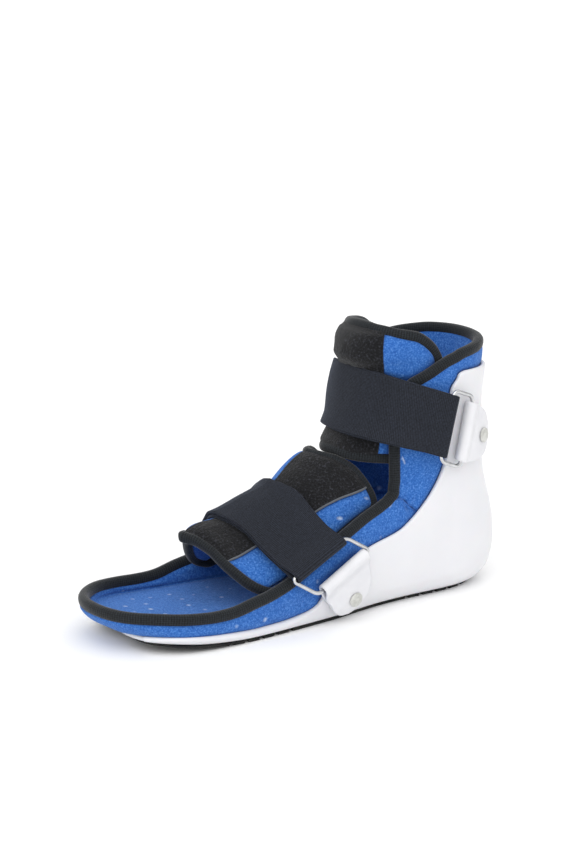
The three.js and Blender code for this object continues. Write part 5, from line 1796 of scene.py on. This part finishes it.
@dataclass
class Hardware:
    """The wire rings, the tabs that hold them, and the rivets."""

    form: Form
    maker: Maker
    straps: Straps
    wire: float = 3.0
    wire_drawn: float = 2.5
    ring_length: float = 47.0
    ring_corner: float = 2.6
    tab_wall: float = 1.8
    rivet_radius: float = 4.6
    rivet_head: float = 1.9
    ankle_inset: float = 11.0       # degrees from the strap's plain end to its rivet
    instep_inset: float = 0.22      # the same, as a share across the foot

    def tabs(self) -> dict:
        """Return the two tabs' places."""
        f = self.form
        return {"ankle": Tab(f, f.ankle_x + 2.5, 106.5, 0.91, -0.33, 0.2, 0.97, 22.0, 0.66),
                "instep": Tab(f, 1.2, 33.6, 0.47, -0.88, 0.89, 0.45, 24.2, 0.79)}

    def build(self) -> None:
        """Build every ring, tab and rivet."""
        vinyl, plated, cap = VinylStrip().make(), PlatedWire().make(), RivetCap().make()
        bands = {"ankle": self.straps.ankle, "instep": self.straps.foot}
        for name, tab in self.tabs().items():
            strip = tab.band(self.tab_wall)
            obj = strip.build(self.maker, f"{name}_tab_vinyl", (26, 24, 34), 0.0, Slot.TAB,
                              vinyl)
            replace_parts(obj, f"{name}_ring_tab")
            self.ring(name, bands[name], strip, tab, plated)
            at = np.array([tab.length * tab.rivet])
            lift = strip.gauge.back + self.tab_wall / 2 + self.form.layer_gap
            self.rivet(f"{name}_tab_rivet", tab.point, tab.core, at, lift, cap)
        lift = self.straps.wall + self.form.layer_gap
        for name, in_by in (("ankle", self.ankle_inset), ("instep", self.instep_inset)):
            band = bands[name]
            self.rivet(f"{name}_strap_rivet", band.surface, band.core,
                       np.array([band.plain_end - in_by]), lift, cap)

    def place(self, origin: Array, across: Array, up: Array) -> Matrix:
        """Return the placement whose Z is a direction and X runs near another.

        Args:
            origin: The middle, in part millimetres.
            across: The direction that X should run along.
            up: The direction of Z.

        Returns:
            The matrix, in metres.
        """
        z = Vector(unit(up))
        x = Vector(across)
        x = (x - z * x.dot(z)).normalized()
        y = z.cross(x)
        where = Vector(((origin + self.maker.shift) / 1000).tolist())
        return Matrix.Translation(where) @ Matrix((x, y, z)).transposed().to_4x4()

    def ring(self, name: str, strap: Band, strip: Band, tab: Tab,
             finish: Material) -> None:
        """Model one wire ring: a rectangle with rounded corners, thickened to a wire.

        Args:
            name: The ring's name.
            strap: The band on one bar.
            strip: The tab's band on the other bar.
            tab: The tab.
            finish: The material.
        """
        first, axis_a = strap.bar_line()
        other, axis_b = strip.bar_line()
        half = (self.ring_length - self.wire) / 2
        corners = [first + axis_a * half, first - axis_a * half,
                   other - axis_b * half, other + axis_b * half]
        outward = facing(tab.point, tab.core, np.array([0.0]), np.array([0.0]))[0]
        middle = np.mean(corners, axis=0)
        where = self.place(middle, axis_b, outward)
        bpy.ops.mesh.primitive_plane_add(size=0.04)
        ring = bpy.context.active_object
        local = [where.inverted() @ Vector(((c + self.maker.shift) / 1000).tolist())
                 for c in corners]
        order = sorted(range(4), key=lambda i: math.atan2(local[i].y, local[i].x))
        for vert in ring.data.vertices:
            turn = math.atan2(vert.co.y, vert.co.x)
            index = int((turn + math.pi) / (math.pi / 2))
            vert.co = local[order[index % 4]]
        bpy.ops.object.mode_set(mode="EDIT")
        bpy.ops.mesh.select_all(action="SELECT")
        bpy.ops.mesh.delete(type="ONLY_FACE")
        bpy.ops.mesh.select_all(action="SELECT")
        bpy.ops.mesh.bevel(offset=self.ring_corner * 1.5 / 1000, segments=8, affect="VERTICES")
        bpy.ops.object.mode_set(mode="OBJECT")
        bpy.ops.object.convert(target="CURVE")
        ring.data.bevel_depth = self.wire_drawn / 2000
        ring.data.bevel_resolution = 5
        bpy.ops.object.convert(target="MESH")
        ring = bpy.context.active_object
        self.finish_rigid(ring, f"{name}_ring_wire", where, finish, Slot.WIRE, f"{name}_ring")

    def rivet(self, name: str, surface: Surface, core: Surface, at: Array, lift: float,
              finish: Material) -> None:
        """Model one rivet: a low domed head with a rolled rim and a pressed middle.

        Args:
            name: The CAD node that it replaces.
            surface: What it is fixed through.
            core: A point inside, for facing outwards.
            at: Its place along the surface.
            lift: How far its foot is off the surface.
            finish: The material.
        """
        zero = np.array([0.0])
        foot = lifted(surface, core, at, zero, np.array([lift]))[0]
        normal = facing(surface, core, at, zero)[0]
        where = self.place(foot, np.array([0.3, 0.1, 1.0]), normal)
        r, h = self.rivet_radius / 1000, self.rivet_head / 1000
        bpy.ops.mesh.primitive_cylinder_add(vertices=40, radius=r, depth=h * 0.45,
                                            location=(0, 0, h * 0.225))
        cap = bpy.context.active_object
        bpy.ops.object.transform_apply(location=True)
        bpy.ops.object.mode_set(mode="EDIT")
        bpy.ops.mesh.select_mode(type="FACE")
        bpy.ops.mesh.select_all(action="DESELECT")
        bm = bmesh.from_edit_mesh(cap.data)
        for face in bm.faces:
            face.select_set(face.normal.z > 0.9)
        bmesh.update_edit_mesh(cap.data)
        for inset, rise in ((0.12, 0.28), (0.2, 0.2), (0.3, 0.1), (0.22, 0.02), (0.08, -0.14)):
            bpy.ops.mesh.inset(thickness=r * inset, depth=0)
            bpy.ops.transform.translate(value=(0, 0, h * rise))
        bpy.ops.mesh.select_all(action="SELECT")
        bpy.ops.object.mode_set(mode="OBJECT")
        soft = cap.modifiers.new("rolled", "BEVEL")
        soft.width, soft.segments = r * 0.08, 3
        bpy.ops.object.modifier_apply(modifier=soft.name)
        self.finish_rigid(cap, f"{name}_cap", where, finish, Slot.RIVET, name)

    def finish_rigid(self, obj: Piece, name: str, where: Matrix,
                     finish: Material, slot: Slot, stands_for: str) -> None:
        """Bring a modelled piece to its place, name it and dress it."""
        obj.data.transform(where)
        obj.matrix_world = Matrix.Identity(4)
        obj.name = obj.data.name = name
        obj.data.materials.clear()
        obj.data.materials.append(finish)
        select_only(obj)
        bpy.ops.object.mode_set(mode="EDIT")
        bpy.ops.mesh.select_all(action="SELECT")
        bpy.ops.mesh.remove_doubles(threshold=0.00001)
        bpy.ops.mesh.normals_make_consistent(inside=False)
        bpy.ops.object.mode_set(mode="OBJECT")
        bpy.ops.object.shade_smooth_by_angle(angle=math.radians(50))
        self.maker.enrol(obj, slot)
        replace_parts(obj, stands_for)


# The studio

@dataclass
class Studio:
    """The camera at the photograph's view, a pale floor and soft light."""

    form: Form
    azimuth: float = -33.65
    elevation: float = 13.75
    distance: float = 1500.0
    scale: float = 1.65
    target: tuple = (0.0, 0.0, 80.0)
    target_px: tuple = (292.86, 478.78)
    frame_px: tuple = (576, 864)
    key_side: tuple = (-0.55, -0.5, 0.9)
    sky_power: float = 1.6
    paper: str = "#fdfdfd"
    white: str = "#ffffff"
    sensor: float = 36.0

    def camera(self) -> None:
        """Set up the camera."""
        a, e = math.radians(self.azimuth), math.radians(self.elevation)
        right = Vector((math.cos(a), math.sin(a), 0))
        back = Vector((math.sin(a) * math.cos(e), -math.cos(a) * math.cos(e), math.sin(e)))
        up = back.cross(right)
        where = Vector(self.target) + Vector(self.form.origin) + back * self.distance
        where -= right * ((self.target_px[0] - self.frame_px[0] / 2) / self.scale)
        where += up * ((self.target_px[1] - self.frame_px[1] / 2) / self.scale)
        data = bpy.data.cameras.new("camera")
        data.sensor_fit = "AUTO"
        data.sensor_width = data.sensor_height = self.sensor
        data.lens = self.sensor * self.distance * self.scale / self.frame_px[1]
        data.clip_start, data.clip_end = 0.05, 30
        obj = bpy.data.objects.new("camera", data)
        bpy.context.scene.collection.objects.link(obj)
        turn = Matrix((right, up, back)).transposed().to_4x4()
        obj.matrix_world = Matrix.Translation(where / 1000) @ turn
        bpy.context.scene.camera = obj

    def floor(self) -> None:
        """Lay the pale floor."""
        bpy.ops.mesh.primitive_plane_add(size=40, location=(0, 0, 0))
        ground = bpy.context.active_object
        ground.name = "studio_floor"
        f = Finish("pale_paper", 0.95, Specular_IOR_Level=0.05)
        f.set("Base Color", f.tint(f.noise(900, 1), (0.0, self.paper), (1.0, self.white)))
        ground.data.materials.append(f.material)

    def sky(self) -> None:
        """Fill the studio with pale light, brighter from above the toes."""
        world = bpy.data.worlds.new("studio")
        bpy.context.scene.world = world
        world.use_nodes = True
        tree = world.node_tree
        towards = node(tree, "ShaderNodeVectorMath", {"operation": "DOT_PRODUCT"}, {
            0: node(tree, "ShaderNodeTexCoord").outputs["Generated"],
            1: Vector(self.key_side).normalized()})
        share = maths(tree, "MULTIPLY_ADD", towards.outputs["Value"], 0.5, 0.5)
        glow = ramp(tree, share, [(0.0, grey(0.3)), (0.5, grey(0.46)), (0.8, grey(0.62)),
                                  (0.97, grey(1.0))])
        back = tree.nodes["Background"]
        tree.links.new(glow, back.inputs["Color"])
        back.inputs["Strength"].default_value = self.sky_power

    def lamps(self) -> None:
        """Hang two broad, weak lamps for soft highlights."""
        rows = (("key", (-0.9, -1.1, 1.5), 1.3, 3.5), ("rim", (1.2, 0.9, 1.3), 1.0, 2.5))
        for name, place, size, power in rows:
            data = bpy.data.lights.new(name, "AREA")
            data.shape, data.size, data.energy = "SQUARE", size, power
            lamp = bpy.data.objects.new(name, data)
            lamp.location = place
            aim = Vector((0, 0, 0.06)) - Vector(place)
            lamp.rotation_euler = aim.to_track_quat("-Z", "Y").to_euler()
            bpy.context.scene.collection.objects.link(lamp)
        bpy.context.scene.view_settings.view_transform = "Standard"


def main() -> None:
    """Load the part and build every piece in order."""
    logging.basicConfig(level=logging.INFO, format="%(message)s")
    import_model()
    form = Form()
    studio = Studio(form)
    studio.camera()
    studio.floor()
    studio.sky()
    studio.lamps()
    maker = Maker(form)
    hull = Hull(form, maker)
    hull.shell()
    hull.sole()
    pile, knit, loop = BrushedPile().make(), KnitTape().make(), LoopPile().make()
    trimmed = LoopPile(trim_width=0.5).make()
    liner = Liner(form, maker)
    liner.bowl(pile)
    liner.collar(pile)
    liner.binding(knit)
    shin, instep = ShinPad(form, maker), InstepPad(form, maker)
    for pad, nap in ((shin, loop), (instep, trimmed)):
        pad.cloth(pile)
        pad.patch(nap)
        pad.tape(knit)
    straps = Straps(form, maker, shin, instep)
    straps.build()
    Hardware(form, maker, straps).build()


if __name__ == "__main__":
    main()
